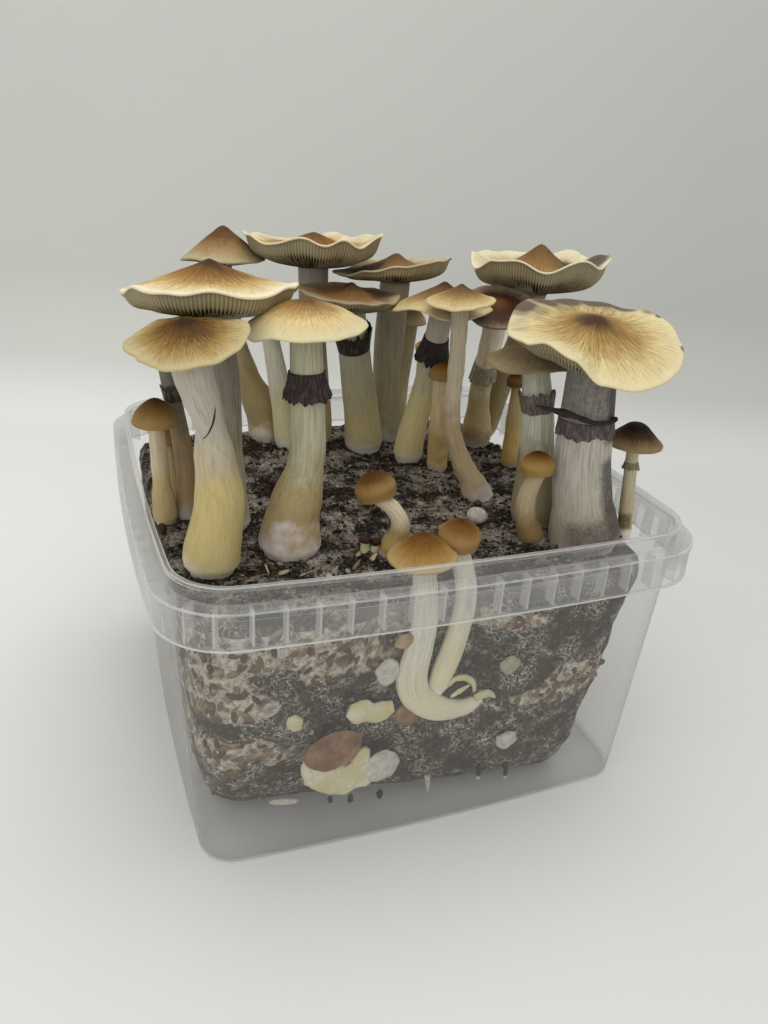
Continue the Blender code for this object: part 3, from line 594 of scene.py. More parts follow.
# clots of down a millimetre wide, and straw-coloured bits
clots = add(tree, "ValToRGB", {"Fac": fuzz}, [(0.56, "#000000"), (0.66, "#d8d8d8")])
clots = add(tree, "MixRGB", {0: 1.0, 1: clots, 2: near}, blend_type="MULTIPLY")
clots = add(tree, "MixRGB", {0: 1.0, 1: clots, 2: mask}, blend_type="MULTIPLY")
colour = add(tree, "MixRGB", {0: clots, 1: colour, 2: "#d6cebf"})
bits = add(tree, "TexVoronoi", {"Vector": bent, "Scale": 1000 / 2.6}).outputs["Color"]
bits = add(tree, "ValToRGB", {"Fac": bits}, [(0.80, "#000000"), (0.84, "#909090")])
colour = add(tree, "MixRGB", {0: bits, 1: colour, 2: "#6b5634"})
# single threads, about a quarter of a millimetre wide, wind over the soil in wide and narrow bends
for size, reach in ((4.5, 0.020), (2.4, 0.030)):
    curl = add(tree, "TexNoise", {"Vector": where, "Scale": 1000 / size, "Detail": 2.0,
                                  "Distortion": 0.8})
    thread = add(tree, "ValToRGB", {"Fac": curl}, [(0.5 - reach, "#000000"), (0.5, "#ffffff"),
                                                   (0.5 + reach, "#000000")])
    spun = add(tree, "MixRGB", {0: 1.0, 1: thread, 2: near}, blend_type="MULTIPLY")
    spun = add(tree, "MixRGB", {0: above, 1: spun, 2: "#d0d0d0"}, blend_type="MULTIPLY")
    colour = add(tree, "MixRGB", {0: spun, 1: colour, 2: "#e0dacc"})
bump = add(tree, "Bump", {"Height": speck, "Strength": 0.9, "Distance": 0.0012})
damp = add(tree, "BsdfPrincipled", {"Base Color": colour, "Roughness": 0.92, "Specular IOR Level": 0.2,
                                    "Normal": bump})
add(tree, "OutputMaterial", {"Surface": damp})

block = add_piece("grain_block", points, faces, [substrate_mix], marks={"soil": soil_share(points)})
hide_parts("substrate")


# Kernels
# Loose rye kernels at the faces of the block, swollen by the soak and glazed brown, each held by
# the white threads round it. They are 5 to 7 mm long.
KERNELS = 1900
KERNEL_TRIES = 3600
BARE_ROWS = 3  # rows of points at the foot and the top of the sides that hold none
KERNEL_SUNK = 0.6  # how deep their middles lie in the block


def ball(detail):
    """Points and faces of a round lump, from an icosahedron split detail times."""
    bm = bmesh.new()
    bmesh.ops.create_icosphere(bm, subdivisions=detail, radius=1.0)
    points = np.array([v.co for v in bm.verts])
    faces = np.array([[v.index for v in f.verts] for f in bm.faces])
    bm.free()
    return points, faces


def scatter(name, shape, places, sizes, outward, rng, finish, dent):
    """One mesh of many lumps, each dented, and turned at random round its outward direction."""
    points, faces = shape
    count = len(places)
    spin = rng.uniform(0, 2 * math.pi, count)
    side = np.cross(outward, (0.31, 0.17, 0.93))
    side /= np.linalg.norm(side, axis=1)[:, None]
    other = np.cross(outward, side)
    long = side * np.cos(spin)[:, None] + other * np.sin(spin)[:, None]
    wide = np.cross(outward, long)
    local = points[None] * sizes[:, None, :]
    local *= 1 + dent * rng.uniform(-1, 1, (count, len(points), 1))
    all_points = (places[:, None] + local[..., :1] * long[:, None] + local[..., 1:2] * wide[:, None]
                  + local[..., 2:] * outward[:, None]).reshape(-1, 3)
    all_faces = (faces[None] + np.arange(count)[:, None, None] * len(points)).reshape(-1, 3)
    tone = np.repeat(rng.uniform(0, 1, count), len(points))
    return add_piece(name, all_points, all_faces.tolist(), [finish], marks={"tone": tone})


# Rye kernels: dull glaze of soaked bran, tan to red-brown, chalky where threads cover them
rye, tree = new_finish("soaked_rye_kernels")
tone = add(tree, "Attribute", attribute_name="tone").outputs["Fac"]
where = add(tree, "TexCoord").outputs["Object"]
skin = add(tree, "ValToRGB", {"Fac": tone}, [(0.0, "#403021"), (0.4, "#5c4833"), (0.75, "#776247"),
                                             (1.0, "#8f7b5a")])
chalk = add(tree, "TexNoise", {"Vector": where, "Scale": 1000 / 2.5, "Detail": 4.0})
cover = add(tree, "ValToRGB", {"Fac": chalk}, [(0.58, "#000000"), (0.68, "#a8a8a8")])
skin = add(tree, "MixRGB", {0: cover, 1: skin, 2: "#d0c8ba"})
glaze = add(tree, "BsdfPrincipled", {"Base Color": skin, "Roughness": 0.55})
add(tree, "OutputMaterial", {"Surface": glaze})

rng = np.random.default_rng(11)
inner = np.arange(columns * BARE_ROWS, columns * (SIDE_ROWS - BARE_ROWS))
picked = rng.choice(inner, KERNEL_TRIES, replace=False)
# they show where the soil is thin
picked = picked[soil_share(side[picked]) < rng.uniform(0.2, 0.6, len(picked))][:KERNELS]
facing = side[picked]
normals = np.where(np.abs(facing[:, :1]) > np.abs(facing[:, 1:2]), (1, 0, 0), (0, 1, 0))
normals = normals * np.sign(facing)
normals[:, 2] = rng.uniform(-0.2, 0.2, len(picked))
normals /= np.linalg.norm(normals, axis=1)[:, None]
sizes = np.column_stack([rng.uniform(2.6, 3.7, len(picked)), rng.uniform(1.1, 1.6, len(picked)),
                         rng.uniform(0.8, 1.2, len(picked))])
grains = scatter("rye_kernels", ball(2), side[picked] - normals * KERNEL_SUNK, sizes, normals, rng, rye, 0.04)


# Crumbs
# Dark soil of the casing layer, broken into crumbs of half a millimetre to two and a half, with pale
# flecks of lime and vermiculite among them. They lie loose on the block.
CRUMBS = 5600
CRUMB_TRIES = 7600
CRUMB_REACH = 84.0  # half the width of the square with round corners that they lie in


def nearly_upright(count, spread, rng):
    """Directions near to straight up, each put off by up to spread along x, y and z."""
    upright = np.tile((0.0, 0.0, 1.0), (count, 1)) + rng.uniform(-spread, spread, (count, 3))
    return upright / np.linalg.norm(upright, axis=1)[:, None]


# Casing soil: the eye gets dull near-black peat with no shine, and a few chalky bits
crumb_soil, tree = new_finish("crumbled_casing_soil")
tone = add(tree, "Attribute", attribute_name="tone").outputs["Fac"]
skin = add(tree, "ValToRGB", {"Fac": tone}, [(0.0, "#16100c"), (0.45, "#30261d"), (0.75, "#4f4236"),
                                             (0.95, "#8f8474")])
peat = add(tree, "BsdfPrincipled", {"Base Color": skin, "Roughness": 0.95, "Specular IOR Level": 0.2})
add(tree, "OutputMaterial", {"Surface": peat})

rng = np.random.default_rng(12)
places = rng.uniform(-CRUMB_REACH - 2, CRUMB_REACH + 2, (CRUMB_TRIES, 2))
inside = (np.abs(places) ** 8).sum(axis=1) < CRUMB_REACH ** 8
places = places[inside][:CRUMBS]
places = np.column_stack([places, np.zeros(len(places))])
# half of each crumb's length; most are small
size = rng.uniform(0.2, 1.0, len(places)) ** 4 * 0.95 + 0.25
places[:, 2] = soil_level(places) + size * 0.2
sizes = np.column_stack([size, size * rng.uniform(0.6, 1.0, len(size)),
                         size * rng.uniform(0.5, 0.8, len(size))])
upright = nearly_upright(len(places), 0.4, rng)
crumbs = scatter("soil_crumbs", ball(1), places, sizes, upright, rng, crumb_soil, 0.45)

# Straw husks: dull, pale yellow-green flakes of chaff that fell on the soil, most along the front
HUSKS = [(-78, -46), (-73, -50), (-70, -53), (-66, -50), (-62, -53), (-57, -56), (-52, -58), (-46, -60),
         (-80, -38), (-26, -58), (-23, -52), (-19, -56), (-30, -62), (-38, -64), (-8, -66), (6, -60),
         (20, -68), (-60, 10), (-36, 10), (52, -8), (64, -30)]
husk_straw, tree = new_finish("pale_straw_husks")
tone = add(tree, "Attribute", attribute_name="tone").outputs["Fac"]
skin = add(tree, "ValToRGB", {"Fac": tone}, [(0.0, "#6d6244"), (0.6, "#968b62"), (1.0, "#bdb48c")])
chaff = add(tree, "BsdfPrincipled", {"Base Color": skin, "Roughness": 0.7})
add(tree, "OutputMaterial", {"Surface": chaff})

rng = np.random.default_rng(13)
places = np.column_stack([np.array(HUSKS, float), np.zeros(len(HUSKS))])
places[:, 2] = soil_level(places) + 0.5
sizes = np.column_stack([rng.uniform(1.2, 3.0, len(HUSKS)), rng.uniform(0.5, 1.4, len(HUSKS)),
                         np.full(len(HUSKS), 0.25)])
upright = nearly_upright(len(HUSKS), 0.9, rng)
husks = scatter("straw_husks", ball(2), places, sizes, upright, rng, husk_straw, 0.35)


# Mushrooms of the left front corner
# Each mushroom is one stem of pale fibrous flesh and one cap with gills under it, and the older ones
# keep the torn veil that joined the two, dark with spores. They grew out of the soil's surface.
LEFT_CORNER = {
    "left_wavy": dict(
        path=[(-65, -18, 0), (-65, -18, 130), (-65, -18, 156), (-68, -18, 180)],
        girth=[(0, 7.2), (0.05, 9.6), (0.2, 8.4), (0.42, 7.0), (0.7, 6.4), (1, 5.4)],
        shaft=("#d9d2cc", "#b7b299", "#9a9284"), streaks=0.55,
        cap=("wavy", 29.0, (0, 0)), slot="cap_gold", ripple=0.010, edge=1.0,
        skin=("#452a12", "#94692f", "#d0b070", "#eee2c0"),
        spots=[(176, 0.98, 0.10, 1.0), (165, 0.97, 0.07, 0.9), (-175, 0.80, 0.25, 0.3)],
        margin=[(-168, 1.0, 0.20), (-150, 1.0, 0.30), (-120, 1.0, 0.29), (-100, 1.0, 0.36), (-72, 1.0, 0.26),
                (-45, 1.0, 0.33), (-25, 1.0, 0.32), (10, 1.0, 0.16), (50, 1.0, 0.06), (110, 1.0, 0.02),
                (158, 0.95, 0.07)]),
    "left_front": dict(
        path=[(-75, -49, 0), (-74.5, -49.2, 106), (-71.8, -50.2, 124), (-72.8, -50.2, 138), (-74.6, -51, 152),
              (-78.6, -52.5, 166), (-80.5, -53, 176.5)],
        girth=[(0, 7.0), (0.08, 9.6), (0.33, 8.2), (0.53, 6.6), (0.68, 4.7), (0.80, 5.6), (0.9, 6.2),
               (1, 5.4)],
        shaft=("#d4c391", "#cbb97f", "#bfb7a8"), streaks=0.35, yellow=0.46,
        cap=("low_cone", 18.1, (13, 240)), slot="cap_gold", ripple=0.012, fibres=0.95,
        skin=("#3c2409", "#6f4d1c", "#a5874c", "#bfb084"), nicks=[(205, 9, 0.05), (232, 5, 0.03)],
        margin=[(-160, 1.0, 0.12), (-110, 1.0, 0.06), (-60, 1.0, 0.12), (-20, 1.02, 0.24), (60, 1.0, 0.05),
                (150, 1.0, 0.02)]),
    "left_thin": dict(
        path=[(-77, -7, 0), (-77, -6, 120), (-80, -4, 145), (-83, -1, 164)],
        girth=[(0, 3.4), (0.1, 4.4), (0.4, 3.4), (0.76, 3.0), (1, 2.7)],
        shaft=("#baafac", "#a58c66", "#7b756b"), ring=(0.78, 3.7, 0.70, 3.2), veil=("#8a7c6c", "#332823"),
        cap=("dome", 9.0, (8, 200)), slot="cap_brown", skin=("#5c3816", "#7d5428", "#957044", "#987b50")),
    "button_left": dict(
        path=[(-85, -9, 0), (-86, -10, 112), (-87.5, -15, 141)],
        girth=[(0, 3.4), (0.12, 4.6), (0.5, 3.2), (1, 2.7)], lumps=0.06,
        shaft=("#b2a27f", "#cab482", "#cabc9f"),
        cap=("bell", 8.1, (4, 260)), slot="cap_amber", skin=("#37220d", "#5c3e19", "#7d5d2c", "#957a4c")),
    "button_left_back": dict(
        path=[(-79, 8, 0), (-80, 9, 112), (-81, 9, 125)],
        girth=[(0, 3.2), (0.15, 4.4), (0.6, 2.9), (1, 2.5)],
        shaft=("#c1b798", "#b6a579", "#b8ab84"),
        cap=("bell", 7.0, (3, 30)), slot="cap_amber", skin=("#523410", "#6a4a1e", "#745426", "#8a6c3e")),
}
# Half of a cap cut through its middle: (distance from the stem, height, share of the margin's lift),
# in cap radii, crown to margin, then back along the gills
OUTLINES = {
    "cone": ([(0, 0.90, 0.0), (0.30, 0.70, 0.1), (0.66, 0.38, 0.4), (1, 0.03, 1.0)],
             [(0.70, 0.03, 0.4), (0.30, 0.00, 0.0)]),
    "dome": ([(0, 0.42, 0.0), (0.34, 0.35, 0.1), (0.70, 0.22, 0.5), (1, 0.02, 1.0)],
             [(0.72, 0.02, 0.5), (0.34, 0.00, 0.0)]),
    "flat": ([(0, 0.50, 0.0), (0.22, 0.36, 0.0), (0.52, 0.22, 0.2), (0.80, 0.13, 0.6), (1, 0.02, 1.0)],
             [(0.80, 0.00, 0.3), (0.31, 0.00, 0.0)]),
    "dish": ([(0, 0.56, 0.0), (0.22, 0.38, 0.0), (0.50, 0.24, 0.1), (0.80, 0.11, 0.55), (1, 0.02, 1.0)],
             [(0.84, 0.00, 0.36), (0.31, 0.00, 0.0)]),
    "peaked": ([(0, 0.66, 0.0), (0.10, 0.60, 0.0), (0.46, 0.36, 0.0), (0.78, 0.14, 0.5), (1, 0.02, 1.0)],
               [(0.84, 0.00, 0.36), (0.31, 0.00, 0.0)]),
    "broad": ([(0, 0.47, 0.0), (0.10, 0.44, 0.0), (0.46, 0.31, 0.0), (0.78, 0.13, 0.5), (1, 0.02, 1.0)],
              [(0.84, 0.00, 0.36), (0.31, 0.00, 0.0)]),
    "wavy": ([(0, 0.57, 0.0), (0.10, 0.52, 0.0), (0.46, 0.37, 0.1), (0.80, 0.20, 0.5), (1, 0.03, 1.0)],
             [(0.84, 0.00, 0.28), (0.31, 0.00, 0.0)]),
    "low_cone": ([(0, 0.50, 0.0), (0.16, 0.41, 0.0), (0.50, 0.25, 0.2), (0.80, 0.13, 0.6), (1, 0.02, 1.0)],
                 [(0.72, 0.02, 0.5), (0.34, 0.00, 0.0)]),
    "button": ([(0, 1.26, 0.0), (0.40, 1.15, 0.0), (0.78, 0.86, 0.0), (0.98, 0.46, 0.2), (0.90, 0.08, 1.0)],
               [(0.70, -0.06, 0.5), (0.46, 0.00, 0.0)]),
    "bell": ([(0, 1.05, 0.0), (0.48, 0.80, 0.0), (0.86, 0.38, 0.4), (1, 0.00, 1.0)],
             [(0.70, -0.02, 0.5), (0.38, 0.00, 0.0)]),
}
GILLS_PER_MM = 4.6  # of cap radius
FEWEST_GILLS = 30
CAP_EDGE = 0.75  # thickness of a cap's margin
FOOT_DEPTH = 1.6  # how far a foot reaches into the soil
THICK_STEM = 6.0  # radius from which a stem has more sides


def along(points, shares, before=None):
    """Places and slopes on a smooth curve through the points, at shares of its length."""
    points = np.array(points, float)
    lengths = np.concatenate([[0], np.cumsum(np.linalg.norm(np.diff(points, axis=0), axis=1))])
    want = np.asarray(shares, float) * lengths[-1]
    n = np.clip(np.searchsorted(lengths, want, side="right") - 1, 0, len(points) - 2)
    t = ((want - lengths[n]) / (lengths[n + 1] - lengths[n]))[:, None]
    start = points[0] * 2 - points[1] if before is None else np.array(before, float)
    full = np.vstack([start, points, points[-1] * 2 - points[-2]])
    a, b, c, d = full[n], full[n + 1], full[n + 2], full[n + 3]
    square = 2 * a - 5 * b + 4 * c - d
    cube = 3 * b - a - 3 * c + d
    place = 0.5 * (2 * b + (c - a) * t + square * t ** 2 + cube * t ** 3)
    slope = 0.5 * ((c - a) + 2 * square * t + 3 * cube * t ** 2)
    return place, slope / np.linalg.norm(slope, axis=1)[:, None]


def ease(low, high, value):
    """0 below low, 1 above high, and smooth between."""
    share = np.clip((value - low) / (high - low), 0, 1)
    return share * share * (3 - 2 * share)


def between(marks, value):
    """Value eased between (place, amount) marks."""
    places = np.array([m[0] for m in marks], float)
    amounts = np.array([m[1] for m in marks], float)
    n = np.clip(np.searchsorted(places, value, side="right") - 1, 0, len(places) - 2)
    share = ease(0, 1, (value - places[n]) / (places[n + 1] - places[n]))
    return amounts[n] + (amounts[n + 1] - amounts[n]) * share


def lean(tilt, heading):
    """Turns a cap from upright to its tilt, in degrees, towards a heading from +X."""
    slope = math.radians(tilt)
    way = math.radians(heading)
    axis = Vector((math.sin(slope) * math.cos(way), math.sin(slope) * math.sin(way), math.cos(slope)))
    return np.array(Vector((0, 0, 1)).rotation_difference(axis).to_matrix())


def round_path(path, shares, angles, radii, flat=1.0):
    """Points round a path: shares, angles and radii have one value for each point."""
    place, way = along(path, shares)
    second = np.array((0.0, 1.0, 0.0)) - way * way[:, 1:2]
    second /= np.linalg.norm(second, axis=1)[:, None]
    first = np.cross(second, way)
    return (place + first * (radii * np.cos(angles))[:, None]
            + second * (radii * np.sin(angles) * flat)[:, None])


def seed_of(name):
    """A number of its own for each mushroom, so that no two have the same grain."""
    return sum(ord(letter) * (n + 3) for n, letter in enumerate(name)) % 9973


def path_length(path):
    """Length of a path in mm, measured straight from point to point."""
    return sum((Vector(b) - Vector(a)).length for a, b in zip(path, path[1:]))


def fibrous_flesh(name, foot, low, high, streaks, yellow):
    """Stem flesh: upright silky fibres, felted white at the foot, straw-coloured where it soaked and
    grey-white above; a little light passes through it, which softens its shading."""
    finish, tree = new_finish(name)
    climb = add(tree, "Attribute", attribute_name="climb").outputs["Fac"]
    shaft = add(tree, "Attribute", attribute_name="shaft").outputs["Vector"]
    stain = add(tree, "Attribute", attribute_name="stain").outputs["Fac"]
    where = add(tree, "TexCoord").outputs["Object"]
    # the fibres are finer than a tenth of a millimetre, so bundles 0.7 mm wide are drawn
    silk = add(tree, "TexNoise", {"Vector": shaft, "Scale": 1.5, "Detail": 4.0, "Roughness": 0.6})
    blotch = add(tree, "TexNoise", {"Vector": where, "Scale": 1000 / 11, "Detail": 3.0, "Roughness": 0.6})
    sway = add(tree, "Math", {0: blotch, 1: 0.55, 2: -0.275}, operation="MULTIPLY_ADD")
    height = add(tree, "Math", {0: climb, 1: sway})
    tone = add(tree, "ValToRGB", {"Fac": height}, [(0.0, foot), (0.16, low), (yellow - 0.04, low),
                                                   (yellow + 0.2, high)])
    dark = add(tree, "ValToRGB", {"Fac": silk}, [(0.32, "#8c8573"), (0.56, "#ffffff")])
    bare = add(tree, "Math", {0: climb, 1: 1.6, 2: 0.22}, operation="MULTIPLY_ADD", use_clamp=True)
    drawn = add(tree, "Math", {0: bare, 1: streaks}, operation="MULTIPLY")
    colour = add(tree, "MixRGB", {0: drawn, 1: tone, 2: dark}, blend_type="MULTIPLY")
    rim = add(tree, "Math", {0: blotch, 1: 0.12, 2: climb}, operation="MULTIPLY_ADD")
    felt = add(tree, "ValToRGB", {"Fac": rim}, [(0.075, "#e8e8e8"), (0.16, "#000000")])
    colour = add(tree, "MixRGB", {0: felt, 1: colour, 2: "#e9e2dc"})
    dust = add(tree, "TexNoise", {"Vector": where, "Scale": 1000 / 1.5, "Detail": 6.0, "Roughness": 0.85})
    dust = add(tree, "Math", {0: dust, 1: -0.5})
    spread = add(tree, "Math", {0: stain, 1: dust})
    cover = add(tree, "ValToRGB", {"Fac": spread}, [(0.22, "#000000"), (0.8, "#f0f0f0")])
    colour = add(tree, "MixRGB", {0: cover, 1: colour, 2: "#3d3331"})
    bump = add(tree, "Bump", {"Height": silk, "Strength": 0.35, "Distance": 0.0004})
    flesh = add(tree, "BsdfPrincipled", {
        "Base Color": colour, "Roughness": 0.6, "Specular IOR Level": 0.3, "Normal": bump,
        "Subsurface Weight": 0.25, "Subsurface Radius": (0.004, 0.003, 0.002), "Subsurface Scale": 1.0})
    add(tree, "OutputMaterial", {"Surface": flesh})
    return finish


def dry_cuticle(name, umbo, inner, outer, margin, fibres):
    """Cap skin: matt silky cuticle, browned at the umbo, golden further out and cream at the margin,
    with short fibres that run outwards, and spores or bruises in purple-brown, which in one dish also paint
    the shade of its hollow."""
    finish, tree = new_finish(name)
    reach = add(tree, "Attribute", attribute_name="reach").outputs["Fac"]
    polar = add(tree, "Attribute", attribute_name="polar").outputs["Vector"]
    stain = add(tree, "Attribute", attribute_name="stain").outputs["Fac"]
    where = add(tree, "TexCoord").outputs["Object"]
    # real fibres are 0.1 mm wide, and rays of about half a millimetre are drawn
    rays = add(tree, "TexNoise", {"Vector": polar, "Scale": 34.0, "Detail": 4.0, "Roughness": 0.6})
    streak = add(tree, "TexNoise", {"Vector": polar, "Scale": 11.0, "Detail": 3.0})
    blotch = add(tree, "TexNoise", {"Vector": where, "Scale": 1000 / 9, "Detail": 3.0})
    sway = add(tree, "Math", {0: rays, 1: blotch}, operation="ADD")
    sway = add(tree, "Math", {0: sway, 1: streak}, operation="ADD")
    sway = add(tree, "Math", {0: sway, 1: 0.24, 2: -0.36}, operation="MULTIPLY_ADD")
    spot = add(tree, "Math", {0: reach, 1: sway})
    tone = add(tree, "ValToRGB", {"Fac": spot}, [(0.10, umbo), (0.36, inner), (0.66, outer), (0.95, margin)])
    drawn = add(tree, "VectorMath", {0: polar, 1: (1.0, 1.0, 0.3)}, operation="MULTIPLY")
    lines = add(tree, "TexNoise", {"Vector": drawn, "Scale": 42.0, "Detail": 3.0, "Roughness": 0.7})
    dark = add(tree, "ValToRGB", {"Fac": lines}, [(0.36, "#553619"), (0.50, "#ffffff")])
    soft = add(tree, "ValToRGB", {"Fac": rays}, [(0.36, "#a08254"), (0.56, "#ffffff")])
    # the fibres are thickest half way out, and the margin is bare and smooth
    thin = add(tree, "ValToRGB", {"Fac": reach}, [(0.05, "#8a8a8a"), (0.45, "#ffffff"), (0.98, "#3a3a3a")])
    haired = add(tree, "Math", {0: thin, 1: fibres}, operation="MULTIPLY")
    silky = add(tree, "Math", {0: thin, 1: 0.4}, operation="MULTIPLY")
    colour = add(tree, "MixRGB", {0: silky, 1: tone, 2: soft}, blend_type="MULTIPLY")
    colour = add(tree, "MixRGB", {0: haired, 1: colour, 2: dark}, blend_type="MULTIPLY")
    dust = add(tree, "TexNoise", {"Vector": polar, "Scale": 5.0, "Detail": 4.0})
    dust = add(tree, "Math", {0: dust, 1: -0.5})
    spread = add(tree, "Math", {0: stain, 1: dust})
    cover = add(tree, "ValToRGB", {"Fac": spread}, [(0.12, "#000000"), (0.85, "#f2f2f2")])
    colour = add(tree, "MixRGB", {0: cover, 1: colour, 2: "#43302f"})
    bump = add(tree, "Bump", {"Height": rays, "Strength": 0.3, "Distance": 0.0004})
    skin = add(tree, "BsdfPrincipled", {
        "Base Color": colour, "Roughness": 0.5, "Specular IOR Level": 0.1, "Normal": bump,
        "Subsurface Weight": 0.1, "Subsurface Radius": (0.003, 0.0018, 0.001), "Subsurface Scale": 1.0})
    add(tree, "OutputMaterial", {"Surface": skin})
    return finish


def torn_veil(name, pale, dark):
    """Veil: a papery skin, dry and torn at its edge, blackened by the spores that fell on it."""
    finish, tree = new_finish(name)
    shaft = add(tree, "Attribute", attribute_name="shaft").outputs["Vector"]
    silk = add(tree, "TexNoise", {"Vector": shaft, "Scale": 1.1, "Detail": 5.0, "Roughness": 0.7})
    tone = add(tree, "ValToRGB", {"Fac": silk}, [(0.45, dark), (0.68, pale)])
    bump = add(tree, "Bump", {"Height": silk, "Strength": 0.8, "Distance": 0.0008})
    papery = add(tree, "BsdfPrincipled", {"Base Color": tone, "Roughness": 0.8, "Normal": bump})
    add(tree, "OutputMaterial", {"Surface": papery})
    return finish


# Gills: thin leaves of flesh, grey-beige on their edges and dark between them, with ripe spores and
# painted shade in the gaps; painted shade darkens them most of all close to the stem
gills_spores_and_painted_shade, tree = new_finish("gills_spores_and_painted_shade")
fold = add(tree, "Attribute", attribute_name="fold").outputs["Fac"]
reach = add(tree, "Attribute", attribute_name="reach").outputs["Fac"]
polar = add(tree, "Attribute", attribute_name="polar").outputs["Vector"]
cloud = add(tree, "TexNoise", {"Vector": polar, "Scale": 4.0, "Detail": 3.0})
depth = add(tree, "Math", {0: cloud, 1: 0.5, 2: -0.25}, operation="MULTIPLY_ADD")
fold = add(tree, "Math", {0: fold, 1: depth})
# dark in the gaps between gills: spores and painted shade
tone = add(tree, "ValToRGB", {"Fac": fold}, [(0.05, "#a39774"), (0.9, "#3c301f")])
reach = add(tree, "Math", {0: reach, 1: depth})
# painted shade, deepest close to the stem
near = add(tree, "ValToRGB", {"Fac": reach}, [(0.25, "#6b5844"), (0.85, "#ffffff")])
colour = add(tree, "MixRGB", {0: 1.0, 1: tone, 2: near}, blend_type="MULTIPLY")
leaves = add(tree, "BsdfPrincipled", {"Base Color": colour, "Roughness": 0.7})
add(tree, "OutputMaterial", {"Surface": leaves})


def make_stem(name, entry):
    """Stem along its path, from below the soil to under the cap."""
    path = [list(p) for p in entry["path"]]
    if path[0][2] == 0:
        path[0][2] = SOIL - FOOT_DEPTH
    girth = entry["girth"]
    thick = max(r for _, r in girth) > THICK_STEM
    sides = 56 if thick else 36
    rows = 80 if thick else 56
    seed = seed_of(name)
    shares = np.repeat(np.linspace(0, 1, rows), sides)
    angles = np.tile(2 * np.pi * np.arange(sides) / sides, rows)
    radii = between(girth, shares)
    length = path_length(path)
    ring = np.column_stack([np.cos(angles) * radii, np.sin(angles) * radii, shares * length])
    # swells 11 mm wide, lumps of 4.5 mm, ribs 1.7 mm apart, and felt with a 1.3 mm grain at the foot
    lumps = 0.03 * field(ring * (1, 1, 0.4), 11.0, seed)
    lumps += entry.get("lumps", 0.0) * field(ring, 4.5, seed + 2)
    fibres = 0.014 * field(ring * (1, 1, 0.05), 1.7, seed + 1)
    fuzz = 0.06 * field(ring, 1.3, seed + 3) * (1 - ease(0.03, 0.12, shares))
    radii = radii * (1 + lumps + fibres + fuzz)
    points = round_path(path, shares, angles, radii, entry.get("flat", 1.0))
    faces, _ = lace([sides] * rows, first_pole=True, last_pole=True)
    points = np.concatenate([points, along(path, [0, 1])[0]])
    stain = np.zeros(len(shares))
    turns = np.degrees(angles)
    for low, high, heading, width, amount in entry.get("dust", []):
        off = np.abs((turns - heading + 180) % 360 - 180)
        patch = ease(low - 0.05, low + 0.03, shares) * (1 - ease(high - 0.03, high + 0.05, shares))
        stain = np.maximum(stain, amount * patch * (1 - ease(width * 0.5, width, off)))
    marks = {"climb": np.append(shares, [0, 1]), "stain": np.append(stain, [0, 0]),
             "shaft": np.vstack([ring * (1, 1, 0.05), (0, 0, 0), (0, 0, length * 0.05)])}
    finish = fibrous_flesh(name + "_flesh", *entry["shaft"], entry.get("streaks", 0.3),
                           entry.get("yellow", 0.42))
    stem = add_piece(name + "_stalk", points, faces, [finish], marks=marks)
    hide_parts(name + "_stem")


def margin_at(margin, nicks, angles):
    """Reach and lift of a cap's margin, eased round it between the directions listed."""
    turns = np.degrees(angles) % 360
    far = np.ones(len(angles))
    lift = np.zeros(len(angles))
    if margin:
        marks = sorted((heading % 360, far, lift) for heading, far, lift in margin)
        marks = [(marks[-1][0] - 360, *marks[-1][1:])] + marks + [(marks[0][0] + 360, *marks[0][1:])]
        far = between([m[:2] for m in marks], turns)
        lift = between([(m[0], m[2]) for m in marks], turns)
    for heading, width, depth in nicks:
        off = np.abs((turns - heading + 180) % 360 - 180)
        far = far - depth * (1 - ease(0, width, off))
    return far, lift


